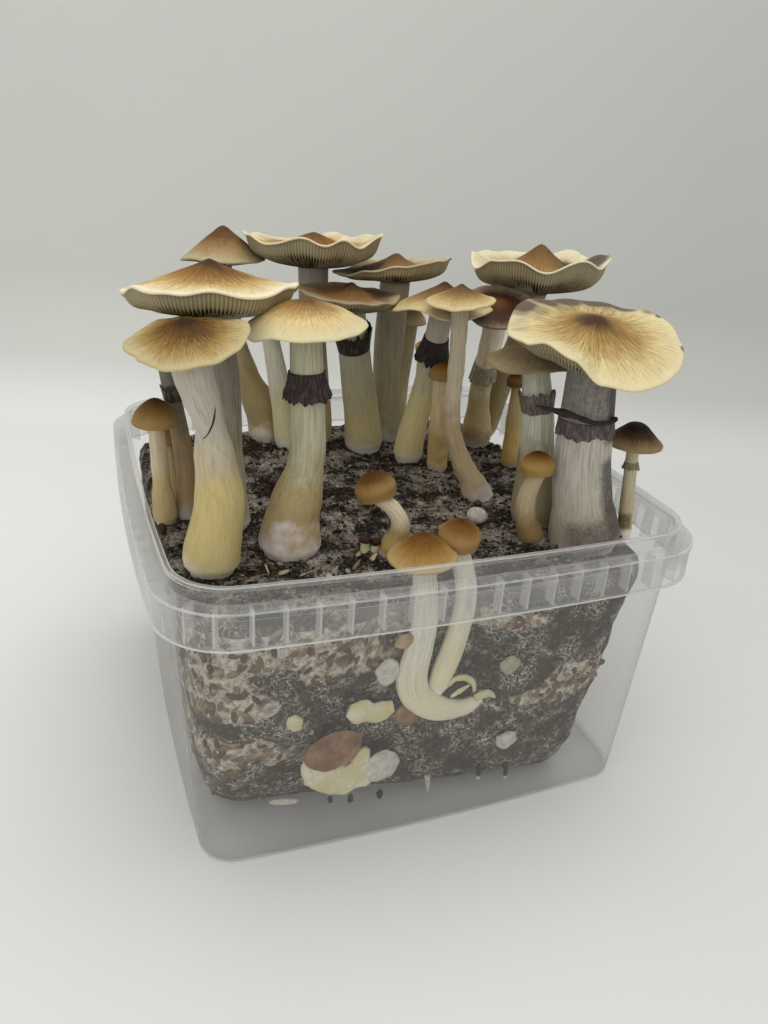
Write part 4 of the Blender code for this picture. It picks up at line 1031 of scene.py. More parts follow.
def make_cap(name, entry):
    """Cap of one mesh: its top from the crown out, its margin, and its gills back in to the stem."""
    kind, radius, (tilt, heading) = entry["cap"]
    upper, under = OUTLINES[kind]
    upper = [(0.0, entry.get("crown", upper[0][1]), 0.0)] + upper[1:]
    seed = seed_of(name)
    rng = np.random.default_rng(seed)
    count = max(FEWEST_GILLS, int(radius * GILLS_PER_MM))
    edge = entry.get("edge", CAP_EDGE) / radius
    top_rows = 24 if radius > 10 else 16
    low_rows = 13 if radius > 10 else 8
    wave = [(k, rng.uniform(0.3, 1.0), rng.uniform(0, 2 * np.pi)) for k in (4, 7, 10, 13)]

    def shell(out, height, share, angles):
        """One ring of points in cap radii."""
        far, lift = margin_at(entry.get("margin"), entry.get("nicks", []), angles)
        lift = lift + sum(a * np.sin(k * angles + p) for k, a, p in wave) * entry.get("ripple", 0.005)
        reach = out * (1 + (far - 1) * out)
        return np.column_stack([reach * np.cos(angles), reach * np.sin(angles), height + lift * share])

    mirrored = (-upper[1][0], upper[1][1], upper[1][2])
    line, _ = along(upper, np.linspace(0, 1, top_rows + 1)[1:], before=mirrored)
    line[:, 1] += edge / 2 * ease(0.85, 1.0, line[:, 0])
    widest = int(np.argmax(line[:, 0])) + 1
    wide = 2 * np.pi * np.arange(2 * count) / (2 * count)
    fine = 2 * np.pi * np.arange(4 * count) / (4 * count)
    rings = []
    reach = []
    fold = []
    for out, height, share in line:
        rings.append(shell(out, height, share, wide))
        reach.append(np.full(len(wide), out))
        fold.append(np.zeros(len(wide)))
    end = line[-1]
    for out, drop in ((1.012, 0.5), (1.004, 0.9)):
        rings.append(shell(out * end[0], end[1] - drop * edge, end[2], wide))
        reach.append(np.full(len(wide), 1.0))
        fold.append(np.zeros(len(wide)))
    hole = entry["girth"][-1][1] / radius
    lower = [(0.985 * end[0], end[1] - 1.05 * edge, 1.0)] + under + [(hole * 0.8, 0.0, 0.0)]
    gill_line, _ = along(lower, np.linspace(0, 1, low_rows))
    # every other gill is short and starts at its own distance from the stem
    short = np.repeat(np.where(np.arange(count) % 2, rng.uniform(0.35, 0.8, count), -1.0), 4)
    profile = np.tile([1.0, 0.42, 0.0, 0.42], count)
    _, lift = margin_at(entry.get("margin"), entry.get("nicks", []), fine)
    for out, height, share in gill_line:
        # valleys are a tenth of the cap's radius deep, and less where the cap is thin
        above = np.interp(out, line[:widest, 0], line[:widest, 1])
        above_share = np.interp(out, line[:widest, 0], line[:widest, 2])
        roof = above + lift * (above_share - share) - 0.05
        deep = 0.10 * (1 - ease(0.80, 0.97, out)) * ease(hole, hole + 0.15, out) + 0.003
        valley = np.minimum(height + deep, np.maximum(roof, height + 0.003))
        ridge = profile * np.where(short > 0, ease(short, short + 0.12, out), 1.0)
        rings.append(shell(out, valley + (height - valley) * ridge, share, fine))
        reach.append(np.full(len(fine), out))
        # fold marks the gaps between gills, which their finish darkens with spores and painted shade
        fold.append((1 - ridge) * (1 - 0.5 * ease(0.80, 0.97, out)))
    faces, rows = lace([len(ring) for ring in rings], first_pole=True, last_pole=True)
    slots = [0 if row < top_rows + 1 else 1 for row in rows]
    points = np.vstack(rings + [[(0, 0, upper[0][1])], [(0, 0, 0.02)]])
    reach = np.concatenate(reach + [[0, 0]])
    fold = np.concatenate(fold + [[0, 0]])
    angle = np.arctan2(points[:, 1], points[:, 0])
    flat = np.column_stack([np.cos(angle), np.sin(angle)])
    stain = np.zeros(len(points))
    for turn, out, width, amount in entry.get("spots", []):
        centre = np.array((math.cos(math.radians(turn)), math.sin(math.radians(turn)))) * out
        gap = np.linalg.norm(flat * reach[:, None] - centre, axis=1)
        stain = np.maximum(stain, amount * (1 - ease(width * 0.3, width, gap)))
    top = top_rows * len(wide)
    polar = np.column_stack([flat, reach * 0.3])
    relief = 0.010 * field(points[:top], 0.35, seed)
    relief += 0.004 * field(polar[:top], 0.035, seed + 1) * ease(0.1, 0.4, reach[:top])
    points[:top, 2] += relief * (1 - ease(0.9, 1.0, reach[:top]))
    points[:, :2] += np.outer(1 - ease(0.0, 0.85, reach), entry.get("peak", (0.0, 0.0)))
    hub = np.array(entry["path"][-1], float)
    points = hub + (points * radius) @ lean(tilt, heading).T
    cuticle = dry_cuticle(name + "_cuticle", *entry["skin"], entry.get("fibres", 0.55))
    cap = add_piece(name + "_hat", points, faces, [cuticle, gills_spores_and_painted_shade], slots,
                    {"reach": reach, "fold": fold, "stain": stain, "polar": polar})
    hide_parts(name + "_cap")


def make_veil(name, entry):
    """Ring of veil left on the stem, fixed at high; its torn edge flares out at low, below or above."""
    low, low_radius, high, high_radius = entry["ring"]
    path = [list(p) for p in entry["path"]]
    path[0][2] = SOIL - FOOT_DEPTH
    columns = 120
    rows = 12
    thick = 0.35
    angles = 2 * np.pi * np.arange(columns) / columns
    seed = seed_of(name) + 5
    round_about = np.column_stack([np.cos(angles), np.sin(angles), np.zeros(columns)])
    tear = field(round_about, 0.25, seed, 4) * 0.30
    pleat = field(round_about, 0.16, seed + 1)
    shares = []
    radii = []
    for inner in (0, 1):
        for k in range(rows):
            t = abs(k / (rows - 1) - inner)
            shares.append(high + (low - high) * t * (1 + tear * t))
            flare = high_radius + (low_radius - high_radius) * t ** 1.3
            radii.append(flare + pleat * 0.5 * t - inner * thick)
    shares = np.concatenate(shares)
    radii = np.concatenate(radii)
    turns = np.tile(angles, 2 * rows)
    points = round_path(path, shares, turns, radii)
    faces, _ = lace([columns] * (2 * rows), around=True)
    shaft = np.column_stack([np.cos(turns) * radii, np.sin(turns) * radii, shares * path_length(path) * 0.2])
    finish = torn_veil(name + "_dried_veil", *entry["veil"])
    veil = add_piece(name + "_veil", points, faces, [finish], marks={"shaft": shaft})


def grow(mushrooms):
    """Stem, cap and, where one is left, ring of veil of each mushroom."""
    for name, entry in mushrooms.items():
        make_stem(name, entry)
        make_cap(name, entry)
        if "ring" in entry:
            make_veil(name, entry)


grow(LEFT_CORNER)


# Mushroom in front
# The stout one at the front left keeps a wide ring, black with spores; its foot is a round bulb
# felted with lilac-white mycelium.
FRONT = {
    "front_ringed": dict(
        path=[(-46, -42, 0), (-45, -42, 112), (-41, -44, 134), (-41, -44, 150), (-42, -43, 180)],
        girth=[(0, 9.0), (0.06, 11.2), (0.24, 9.0), (0.45, 6.2), (0.66, 5.9), (1, 5.3)],
        shaft=("#dad0d2", "#b19d72", "#bbb79b"), streaks=0.45, yellow=0.34,
        ring=(0.725, 8.2, 0.83, 6.1), veil=("#5a4a44", "#241b18"),
        cap=("dome", 19.2, (4, 262)), slot="cap_gold", ripple=0.008, fibres=0.6,
        skin=("#66431f", "#a9834a", "#dfc68b", "#d6caa2"),
        margin=[(-170, 1.0, -0.18), (-130, 1.0, -0.02), (-60, 1.0, 0.03), (-20, 1.03, 0.04), (40, 1.0, 0.0),
                (120, 1.0, -0.08)]),
}
grow(FRONT)


# Mushrooms of the back row
# Five caps along the back, the widest turned up at their margins so that the gills show from below.
BACK_ROW = {
    "back_left": dict(
        path=[(-27, 75, 0), (-29, 76, 112), (-37, 77, 130), (-42, 79, 150), (-46, 80, 180)],
        girth=[(0, 7.0), (0.07, 8.8), (0.2, 8.3), (0.4, 6.0), (0.65, 4.4), (1, 3.4)],
        shaft=("#dfd5ba", "#a9976c", "#6d6b6f"), yellow=0.5,
        cap=("cone", 18.2, (0, 0)), slot="cap_brown", fibres=0.5,
        skin=("#53371a", "#6f4c27", "#a08358", "#b3a480"), spots=[(10, 0.5, 0.7, 0.25)],
        margin=[(-150, 1.0, 0.17), (-90, 1.0, 0.15), (-30, 1.0, 0.13), (90, 1.0, 0.04), (170, 1.02, 0.04)]),
    "back_upturned": dict(
        path=[(-6, 66, 0), (-5, 66, 118), (-7, 68, 150), (-8, 69, 181.5)],
        girth=[(0, 6.4), (0.08, 7.8), (0.35, 5.8), (0.6, 5.5), (0.85, 6.6), (1, 6.8)],
        shaft=("#d9d1c8", "#b5a984", "#988d82"),
        cap=("broad", 30.6, (0, 0)), slot="cap_gold", ripple=0.014, edge=1.0,
        skin=("#6a4621", "#8f6430", "#b4925a", "#dcd0ac"),
        margin=[(-170, 1.0, 0.43), (-145, 1.0, 0.33), (-112, 1.0, 0.46), (-94, 1.0, 0.38), (-80, 1.0, 0.45),
                (-64, 1.0, 0.38), (-40, 1.0, 0.45), (-15, 1.0, 0.46), (40, 1.0, 0.33), (100, 1.0, 0.24),
                (150, 1.0, 0.34)]),
    "back_purple": dict(
        path=[(15, 52, 0), (13, 52, 115), (8, 49, 138), (1, 41, 168)],
        girth=[(0, 7.2), (0.08, 8.9), (0.35, 8.0), (0.66, 7.2), (1, 6.4)],
        shaft=("#b2a091", "#c1b381", "#b3ac93"), yellow=0.3,
        ring=(0.87, 8.9, 0.74, 7.3), veil=("#57453c", "#1e1513"),
        cap=("flat", 22.2, (0, 0)), slot="cap_umber", ripple=0.012, edge=0.9,
        skin=("#3f2611", "#805c33", "#8d7048", "#a08f70"),
        spots=[(-20, 0.6, 0.42, 0.8), (10, 0.5, 0.45, 0.7), (-48, 0.7, 0.3, 0.5)],
        margin=[(-158, 1.0, 0.30), (-110, 1.0, 0.25), (-60, 0.98, 0.22), (-25, 0.94, 0.26), (20, 1.0, 0.20),
                (100, 0.90, 0.30), (150, 1.0, 0.32)]),
    "back_small": dict(
        path=[(-20, 61, 0), (-24, 62, 125), (-30, 61, 156)],
        girth=[(0, 4.8), (0.1, 6.0), (0.4, 5.0), (1, 3.8)],
        shaft=("#f8f3eb", "#dcd0a6", "#dad6c0"),
        cap=("dome", 9.4, (5, 200)), slot="cap_brown", skin=("#5c3d1d", "#7f5c30", "#a3824e", "#b89c6c")),
    "back_grey": dict(
        path=[(32, 65, 0), (30, 65, 118), (28, 62, 140), (28, 59, 177)],
        girth=[(0, 5.6), (0.08, 7.0), (0.35, 6.4), (0.7, 7.0), (1, 6.8)],
        shaft=("#c1b5a0", "#a89d7f", "#9f947d"), streaks=0.4,
        cap=("dish", 23.6, (0, 0)), crown=0.50, slot="cap_umber", ripple=0.012, edge=0.9,
        skin=("#6a4a28", "#8f6c40", "#a08a5e", "#bfb28e"),
        spots=[(-165, 0.6, 0.45, 0.8), (-130, 0.62, 0.3, 0.6), (160, 0.7, 0.4, 0.5)],
        margin=[(163, 1.20, 0.08), (-172, 1.12, 0.10), (-146, 1.03, 0.20), (-105, 1.0, 0.38),
                (-60, 1.0, 0.46), (-25, 1.04, 0.46), (40, 1.0, 0.28), (100, 0.96, 0.22), (138, 0.98, 0.08)]),
}
grow(BACK_ROW)


# Mushrooms of the middle
# A close group: some have lumpy stems, three have caps that are still closed, and one has a cap that
# tipped towards the front and turned dark. Each stands on its own foot in the soil.
MIDDLE = {
    "middle_ringed": dict(
        path=[(30, 34, 0), (31, 33, 112), (35, 30, 138), (34, 18, 173)],
        girth=[(0, 5.2), (0.08, 6.8), (0.35, 5.9), (0.58, 5.4), (1, 4.8)],
        shaft=("#d3cbc4", "#d5c691", "#c5bbad"), ring=(0.69, 7.8, 0.82, 5.5), veil=("#4c3c34", "#181110"),
        cap=("low_cone", 20.8, (0, 0)), slot="cap_gold", skin=("#452810", "#7a5832", "#b0935f", "#cbb988"),
        margin=[(160, 1.02, -0.14), (-145, 1.0, 0.04), (-105, 1.0, -0.10), (-50, 1.0, 0.02),
                (25, 0.92, -0.02), (90, 1.0, -0.05)]),
    "tall_thin": dict(
        path=[(45, -15, 0), (40, -12, 107), (35, -9, 117), (31, -7, 132), (31, -6, 160), (30, -6, 180)],
        girth=[(0, 5.4), (0.06, 6.2), (0.16, 4.6), (0.3, 3.9), (0.6, 3.3), (1, 3.3)], lumps=0.10,
        shaft=("#a8998e", "#b4a07c", "#c0b59b"),
        cap=("low_cone", 13.3, (0, 0)), slot="cap_gold", skin=("#54361a", "#7d5c36", "#b3965f", "#cdbd8e"),
        margin=[(170, 1.0, -0.10), (-125, 1.0, -0.13), (-70, 1.0, 0.0), (-25, 1.02, 0.08), (60, 1.0, 0.0)]),
    "young_middle": dict(
        path=[(39, 19, 0), (37, 17, 115), (34, 12.5, 145)],
        girth=[(0, 3.6), (0.1, 4.5), (0.5, 4.1), (1, 3.5)], lumps=0.12,
        shaft=("#b7ac94", "#c9ad74", "#e5cda1"),
        cap=("bell", 6.0, (4, 255)), slot="cap_amber", skin=("#5e3a14", "#84571f", "#96702f", "#947244")),
    "young_back": dict(
        path=[(42, 71, 0), (40, 71, 115), (43, 72, 155)],
        girth=[(0, 2.6), (0.1, 3.3), (0.5, 3.0), (1, 3.4)],
        shaft=("#81756a", "#d7caa2", "#b4aa87"),
        # its skin is darkened: painted shadow of middle_ringed's cap, which shades it
        cap=("bell", 7.3, (3, 255)), slot="cap_gold", skin=("#7a6440", "#6e5a38", "#8a744c", "#b5a67e")),
    "thin_back": dict(
        path=[(57, 84, 0), (56, 85, 115), (57, 89, 137)],
        girth=[(0, 2.0), (0.12, 2.5), (0.5, 2.2), (1, 1.8)],
        shaft=("#cfc5aa", "#c0b080", "#bcae84"),
        cap=("button", 3.4, (0, 0)), slot="cap_amber", skin=("#7a5222", "#94692e", "#a88042", "#b8965c")),
    "dark_tilted": dict(
        path=[(73, 47, 0), (71, 46, 122), (70, 42, 140), (62.5, 22, 169)],
        girth=[(0, 5.8), (0.1, 7.2), (0.3, 5.2), (0.52, 5.0), (1, 5.2)], lumps=0.05,
        # the near-white top of the stem is painted light, making up for the shade it stands in
        shaft=("#795e2e", "#bdab7e", "#feedd1"), streaks=0.4,
        ring=(0.46, 6.6, 0.60, 5.4), veil=("#c4baa4", "#8f8470"),
        cap=("dish", 15.8, (24, 238)), crown=0.42, slot="cap_umber", edge=0.8,
        skin=("#65401f", "#51321d", "#4a3228", "#8d7a66"),
        margin=[(-150, 1.0, 0.22), (-90, 1.0, 0.20), (0, 0.96, 0.26), (50, 0.94, 0.24), (110, 1.0, 0.26),
                (165, 0.84, 0.20)]),
}
grow(MIDDLE)


# Mushrooms of the right side
# The two largest caps are here. One faces the front, cream with a brown umbo, on a stem grey with spore
# dust that wears its veil as a black roll. The other, behind it, is turned up into a dish.
RIGHT_SIDE = {
    "right_umbo": dict(
        path=[(81, 61, 0), (83, 53, 120), (87, 46, 148), (90, 39, 176)],
        girth=[(0, 5.8), (0.1, 7.2), (0.35, 6.0), (0.7, 4.8), (1, 5.4)],
        shaft=("#ccc0a8", "#928257", "#97876f"),
        cap=("peaked", 31.0, (0, 0)), slot="cap_gold", ripple=0.012, edge=1.0,
        skin=("#6e4c28", "#8f6f42", "#a98a52", "#e0d6b4"),
        # the spots inside the dish towards the front right are painted shade of its hollow, in spore
        # purple-brown
        spots=[(-55, 0.62, 0.42, 1.0), (-20, 0.45, 0.35, 1.0), (10, 0.6, 0.34, 1.0), (-22, 0.75, 0.45, 0.9),
               (-5, 0.95, 0.34, 1.0)],
        margin=[(174, 1.0, 0.26), (-160, 1.0, 0.45), (-143, 1.0, 0.49), (-112, 1.0, 0.37), (-87, 1.0, 0.55),
                (-65, 1.0, 0.45), (-40, 1.0, 0.52), (-8, 1.0, 0.52), (12, 1.0, 0.42), (28, 1.0, 0.49),
                (60, 1.0, 0.38), (110, 1.0, 0.40), (150, 1.0, 0.42)]),
    "right_big": dict(
        path=[(66, -62, 0), (63, -61, 112), (60, -59, 135), (59, -57, 172)],
        girth=[(0, 11.2), (0.07, 13.2), (0.3, 11.0), (0.52, 10.2), (0.62, 10.0), (1, 8.4)],
        shaft=("#bca5a0", "#aaa18e", "#c1bcaf"), streaks=0.55, yellow=0.2,
        dust=[(0.64, 1.0, 200, 400, 0.6), (0.60, 1.0, -20, 80, 0.95), (0.06, 0.5, -30, 75, 0.75),
              (0.03, 0.2, 270, 90, 0.62)],
        ring=(0.625, 10.7, 0.70, 10.1), veil=("#7d7270", "#463c3b"),
        cap=("flat", 31.0, (14, 258)), crown=0.42, slot="cap_gold", ripple=0.012, edge=0.9, fibres=0.75,
        peak=(-0.08, 0.03),
        skin=("#4a3117", "#b08e52", "#d2be88", "#dccfa4"),
        spots=[(40, 0.97, 0.26, 0.8), (62, 0.93, 0.34, 1.0), (84, 0.92, 0.34, 1.0), (106, 0.93, 0.34, 1.0),
               (128, 0.96, 0.30, 0.9), (22, 0.98, 0.16, 0.7),
               (14, 1.0, 0.08, 1.0), (-28, 1.02, 0.10, 0.9),
               (60, 0.78, 0.32, 0.45), (95, 0.75, 0.32, 0.5), (125, 0.78, 0.3, 0.5), (150, 0.88, 0.22, 0.4)],
        margin=[(-173, 1.0, 0.22), (-155, 1.0, 0.37), (-138, 1.0, 0.31), (-118, 1.0, 0.11), (-90, 1.0, 0.06),
                (-60, 0.94, 0.10), (-20, 0.93, 0.18), (10, 0.95, 0.24), (50, 1.0, 0.16), (90, 1.0, 0.14),
                (125, 1.0, 0.24), (160, 1.01, 0.10)]),
    "young_right": dict(
        path=[(77, 18, 0), (76, 19, 118), (75, 20, 137)],
        girth=[(0, 3.8), (0.12, 4.8), (0.5, 3.8), (1, 2.0)], lumps=0.05,
        shaft=("#b4a278", "#c0a667", "#af9a6b"),
        cap=("button", 4.7, (0, 0)), slot="cap_amber", skin=("#33200c", "#44290f", "#5c3c18", "#75552a")),
    "right_middle": dict(
        path=[(55, -41, 0), (54, -39, 118), (54, -35, 140), (52, -31, 161)],
        girth=[(0, 7.0), (0.1, 8.8), (0.4, 7.2), (0.6, 6.4), (1, 5.2)],
        shaft=("#917a54", "#9c8f71", "#cdcdb8"), streaks=0.5,
        ring=(0.83, 7.2, 0.70, 6.1), veil=("#9b9388", "#5d544c"),
        cap=("dome", 18.8, (0, 0)), slot="cap_umber", fibres=0.7,
        skin=("#3f3018", "#5c4a2e", "#6e5c3e", "#8f8160"),
        margin=[(160, 1.0, 0.0), (-150, 1.0, -0.04), (-110, 0.86, 0.06), (-80, 0.80, 0.06), (-50, 0.90, 0.02),
                (60, 1.0, 0.05)]),
    "button_right": dict(
        path=[(47, -57, 0), (42, -56, 108), (40.2, -57, 118), (41.2, -60, 129.2)],
        girth=[(0, 3.8), (0.15, 4.9), (0.4, 3.8), (1, 3.0)],
        shaft=("#726856", "#8f7649", "#beae89"),
        cap=("button", 6.4, (6, 140)), slot="cap_amber", skin=("#3c1d08", "#6a3f14", "#876126", "#9c8046")),
    "small_dark": dict(
        path=[(85.5, -60, 0), (84.5, -59, 112), (82.8, -58, 137.0)],
        girth=[(0, 2.4), (0.15, 2.8), (0.7, 2.4), (1, 2.3)],
        # the near-white foot is painted light, making up for the low light beside the tub's wall
        shaft=("#ffffe9", "#cab58b", "#c7c0a2"), dust=[(0.14, 0.3, 200, 120, 0.7)],
        ring=(0.76, 3.3, 0.82, 2.6), veil=("#b0a48c", "#7d6c56"),
        cap=("cone", 10.6, (3, 250)), crown=0.78, slot="cap_umber",
        skin=("#0c0705", "#160d07", "#4c3820", "#8f7a56")),
}
grow(RIGHT_SIDE)


# Mushrooms of the front edge
# One button stands on the soil. Two grew from the block's front face and up past it, pressed flat
# against the plastic, their stems creased and their feet drawn out into roots.
FRONT_EDGE = {
    "button_front": dict(
        path=[(-12, -52, 0), (-9, -53, 105), (-8.5, -54, 111), (-11.6, -53, 117), (-16.6, -50.8, 121)],
        girth=[(0, 3.8), (0.15, 4.7), (0.4, 3.6), (0.7, 2.9), (1, 2.8)],
        shaft=("#5f4b24", "#b79a61", "#dcd0b3"),
        cap=("button", 7.6, (18, 150)), slot="cap_amber", skin=("#4c2c0e", "#58360f", "#66451a", "#96774a")),
    "edge_golden": dict(
        path=[(15.5, -85.2, 52.5), (8, -85.6, 50.3), (-2, -86.2, 52.5), (-10.5, -86.4, 59),
              (-13.6, -86.2, 68), (-11.8, -86.2, 80), (-10.6, -86, 92), (-10.8, -84, 102),
              (-10.9, -81, 111.8)],
        girth=[(0, 1.8), (0.07, 3.6), (0.25, 5.2), (0.45, 5.8), (0.65, 5.0), (0.85, 4.6), (1, 4.0)],
        flat=0.52, shaft=("#d8d0b4", "#dcd5b8", "#dedaca"), streaks=0.35,
        cap=("cone", 11.1, (4, 200)), crown=0.78, slot="cap_amber", fibres=0.7,
        skin=("#5a3610", "#7a5220", "#a07a3e", "#b29664"),
        margin=[(158, 1.08, -0.02), (-150, 1.02, -0.03), (-100, 1.0, 0.0), (-30, 1.0, 0.04),
                (60, 1.0, 0.02)]),
    "edge_round": dict(
        path=[(-3.5, -85.4, 58.5), (-1.6, -85, 66), (1.4, -85, 76), (3.4, -85, 86), (4.6, -84.6, 97),
              (4.2, -81, 106), (3.4, -77, 113.2)],
        girth=[(0, 2.4), (0.08, 4.2), (0.2, 4.6), (0.5, 4.2), (0.8, 3.9), (1, 3.2)],
        flat=0.6, shaft=("#d8d0b0", "#dcd4b4", "#dcd6c4"), streaks=0.3,
        cap=("button", 7.4, (8, 250)), slot="cap_amber", skin=("#4a2a12", "#6a4420", "#7d5727", "#9c7c4e")),
}
grow(FRONT_EDGE)


# Pressed and broken pieces
# Mushrooms that formed between the block and the front wall grew flat against the plastic, their
# caps bruised and their flesh creased. White tufts and short roots of mycelium lie among them.
def lump(centre, half, turn, rough, detail, seed, lobes=()):
    """Points and faces of an uneven lump, turned in degrees in the plane of the front wall."""
    points, faces = ball(detail)
    swell = np.ones(len(points))
    bearing = np.degrees(np.arctan2(points[:, 2], points[:, 0]))
    for angle, width, amount in lobes:
        swell += amount * np.exp(-(((bearing - angle + 180) % 360 - 180) / width) ** 2)
    points = points * (1 + rough * field(points, 0.7, seed, 3))[:, None] * half
    points[:, (0, 2)] *= swell[:, None]
    slope = math.radians(turn)
    across = points[:, 0] * math.cos(slope) - points[:, 2] * math.sin(slope)
    height = points[:, 0] * math.sin(slope) + points[:, 2] * math.cos(slope)
    return np.column_stack([across, points[:, 1], height]) + centre, faces.tolist()


def strand(path, girth, flat, rough, seed, sides=20, rows=36):
    """Points and faces of an uneven rod of flesh along a path."""
    shares = np.repeat(np.linspace(0, 1, rows), sides)
    angles = np.tile(2 * np.pi * np.arange(sides) / sides, rows)
    ring = np.column_stack([np.cos(angles), np.sin(angles), shares * path_length(path) * 0.3])
    radii = between(girth, shares) * (1 + rough * field(ring, 0.9, seed, 3))
    points = round_path(path, shares, angles, radii, flat)
    faces, _ = lace([sides] * rows, first_pole=True, last_pole=True)
    return np.concatenate([points, along(path, [0, 1])[0]]), faces


def add_group(name, parts, finish, replaced=None):
    """One mesh of several lumps and strands."""
    points = []
    faces = []
    for more_points, more_faces in parts:
        first = len(points)
        points += list(more_points)
        faces += [tuple(v + first for v in face) for face in more_faces]
    piece = add_piece(name, points, faces, [finish])
    if replaced:
        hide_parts(replaced)


# Mycelium felt: chalk-white down, greyed in its hollows by painted shade, so soft that it has no shine
white_down, tree = new_finish("mycelium_felt")
where = add(tree, "TexCoord").outputs["Object"]
down = add(tree, "TexNoise", {"Vector": where, "Scale": 1000 / 2, "Detail": 6.0, "Roughness": 0.75})
shade = add(tree, "ValToRGB", {"Fac": down}, [(0.34, "#aaa298"), (0.52, "#c6c0b6"), (0.7, "#dcd8d0")])
bump = add(tree, "Bump", {"Height": down, "Strength": 0.6, "Distance": 0.0006})
felt = add(tree, "BsdfPrincipled", {"Base Color": shade, "Roughness": 0.9, "Specular IOR Level": 0.1,
                                    "Normal": bump})
add(tree, "OutputMaterial", {"Surface": felt})


def creased_flesh(name, pale, yellow, crease_shade):
    """Flesh grown flat against plastic: pale with yellow stains, in dull panes parted by creases in painted
    shade.
    """
    finish, tree = new_finish(name)
    where = add(tree, "TexCoord").outputs["Object"]
    cloud = add(tree, "TexNoise", {"Vector": where, "Scale": 1000 / 7, "Detail": 4.0})
    tone = add(tree, "ValToRGB", {"Fac": cloud}, [(0.38, yellow), (0.62, pale)])
    warp = add(tree, "TexNoise", {"Vector": where, "Scale": 1000 / 5, "Detail": 3.0}).outputs["Color"]
    bent = add(tree, "MixRGB", {0: 0.008, 1: where, 2: warp}, blend_type="ADD")
    # creases are 9 mm apart, their painted shade fades out within half a millimetre to each side, and they
    # come and go
    panes = add(tree, "TexVoronoi", {"Vector": bent, "Scale": 1000 / 9}, feature="DISTANCE_TO_EDGE")
    crease = add(tree, "ValToRGB", {"Fac": panes}, [(0.01, crease_shade), (0.05, "#ffffff")])
    fade = add(tree, "ValToRGB", {"Fac": cloud}, [(0.44, "#000000"), (0.6, "#a0a0a0")])
    colour = add(tree, "MixRGB", {0: fade, 1: tone, 2: crease}, blend_type="MULTIPLY")
    bump = add(tree, "Bump", {"Height": panes, "Strength": 0.4, "Distance": 0.0008})
    flesh = add(tree, "BsdfPrincipled", {"Base Color": colour, "Roughness": 0.55,
                                         "Specular IOR Level": 0.25, "Normal": bump})
    add(tree, "OutputMaterial", {"Surface": flesh})
    return finish


pressed_flesh = creased_flesh("flesh_grown_against_plastic", "#d6d2bc", "#c5bd8e", "#5a5040")
grey_flesh = creased_flesh("greened_old_flesh", "#a5a48c", "#85876c", "#4a4638")


def bruised_skin(name, low, middle, high):
    """Cap skin pressed against plastic: red-brown and damp, cloudy, with pale worn places."""
    finish, tree = new_finish(name)
    where = add(tree, "TexCoord").outputs["Object"]
    cloud = add(tree, "TexNoise", {"Vector": where, "Scale": 1000 / 8, "Detail": 6.0, "Roughness": 0.65})
    tone = add(tree, "ValToRGB", {"Fac": cloud}, [(0.34, low), (0.5, middle), (0.66, high)])
    grain = add(tree, "TexNoise", {"Vector": where, "Scale": 1000 / 1.2, "Detail": 3.0})
    bump = add(tree, "Bump", {"Height": grain, "Strength": 0.3, "Distance": 0.0004})
    skin = add(tree, "BsdfPrincipled", {"Base Color": tone, "Roughness": 0.45, "Specular IOR Level": 0.3,
                                        "Normal": bump})
    add(tree, "OutputMaterial", {"Surface": skin})
    return finish


bruised_cap = bruised_skin("bruised_damp_cap_skin", "#5f4130", "#7d5c42", "#9a7a54")
dark_skin = bruised_skin("dark_pin_skin", "#2a160c", "#40261a", "#5c3d26")

add_group("pressed_hat", [lump((-40.6, -86.6, 42.6), (10.4, 1.1, 8.0), 14, 0.09, 5, 21,
                               [(40, 40, 0.06), (150, 30, 0.04)])],
          bruised_cap, "pressed_cap")
add_group("pressed_body", [
    strand([(-49, -85.0, 41), (-47.8, -85.1, 34), (-43, -85.3, 29.5), (-36, -85.3, 28), (-29, -85.3, 29),
            (-22, -85.3, 30)], [(0, 2.2), (0.2, 4.0), (0.4, 6.0), (0.62, 6.8), (0.82, 5.8), (1, 2.5)],
           0.3, 0.22, 22, 40, 60),
    lump((-30.4, -85.6, 35.0), (3.2, 1.4, 6.6), -12, 0.2, 4, 23)],
    pressed_flesh, "pressed_stem")
add_group("flattened_body", [
    strand([(-36, -86, 58.8), (-30, -86, 56.6), (-25, -86, 55.6), (-19.5, -86, 56.8)],
           [(0, 2.6), (0.25, 5.0), (0.5, 3.9), (0.75, 4.3), (1, 2.6)], 0.34, 0.16, 24, 36, 44),
    lump((-54.7, -86.2, 57.6), (2.8, 1.2, 3.2), 20, 0.2, 4, 25)],
    pressed_flesh, "flattened_stem")
add_group("flattened_hat", [lump((-14, -86.0, 52.3), (4.9, 1.6, 4.9), 0, 0.1, 4, 26)],
          bruised_cap, "flattened_cap")
add_group("white_tufts", [
    lump((-22.5, -85.8, 31.0), (7.0, 2.2, 6.3), 20, 0.12, 5, 31),
    lump((-22.5, -86.2, 72.1), (4.4, 1.4, 5.2), 0, 0.25, 4, 32),
    lump((28.6, -85.6, 30.3), (4.0, 1.6, 3.8), 0, 0.28, 4, 33),
    lump((-57.3, -83.5, 21.5), (5.4, 1.0, 1.3), -12, 0.15, 4, 34),
    strand([(-0.2, -80, 15.5), (0.0, -80.4, 11.5), (0.4, -80.6, 7.8)], [(0, 1.2), (0.6, 0.9), (1, 0.5)],
           1, 0.1, 35),
    lump((22.0, -80.4, 9.0), (0.9, 0.8, 1.3), 0, 0.2, 3, 36),
    lump((34.4, -80.4, 6.2), (0.9, 0.8, 1.3), 0, 0.2, 3, 37)],
    white_down)
add_group("worn_cap_and_grey_flesh", [
    lump((24.7, -86.6, 66.5), (4.2, 1.0, 3.6), 10, 0.2, 4, 41)],
    grey_flesh)
add_group("tan_pressed_hat", [lump((-17.2, -87.0, 84.2), (4.0, 1.0, 2.8), 15, 0.15, 4, 42)],
          bruised_skin("worn_tan_cap_skin", "#8a7450", "#a08a66", "#b5a280"))

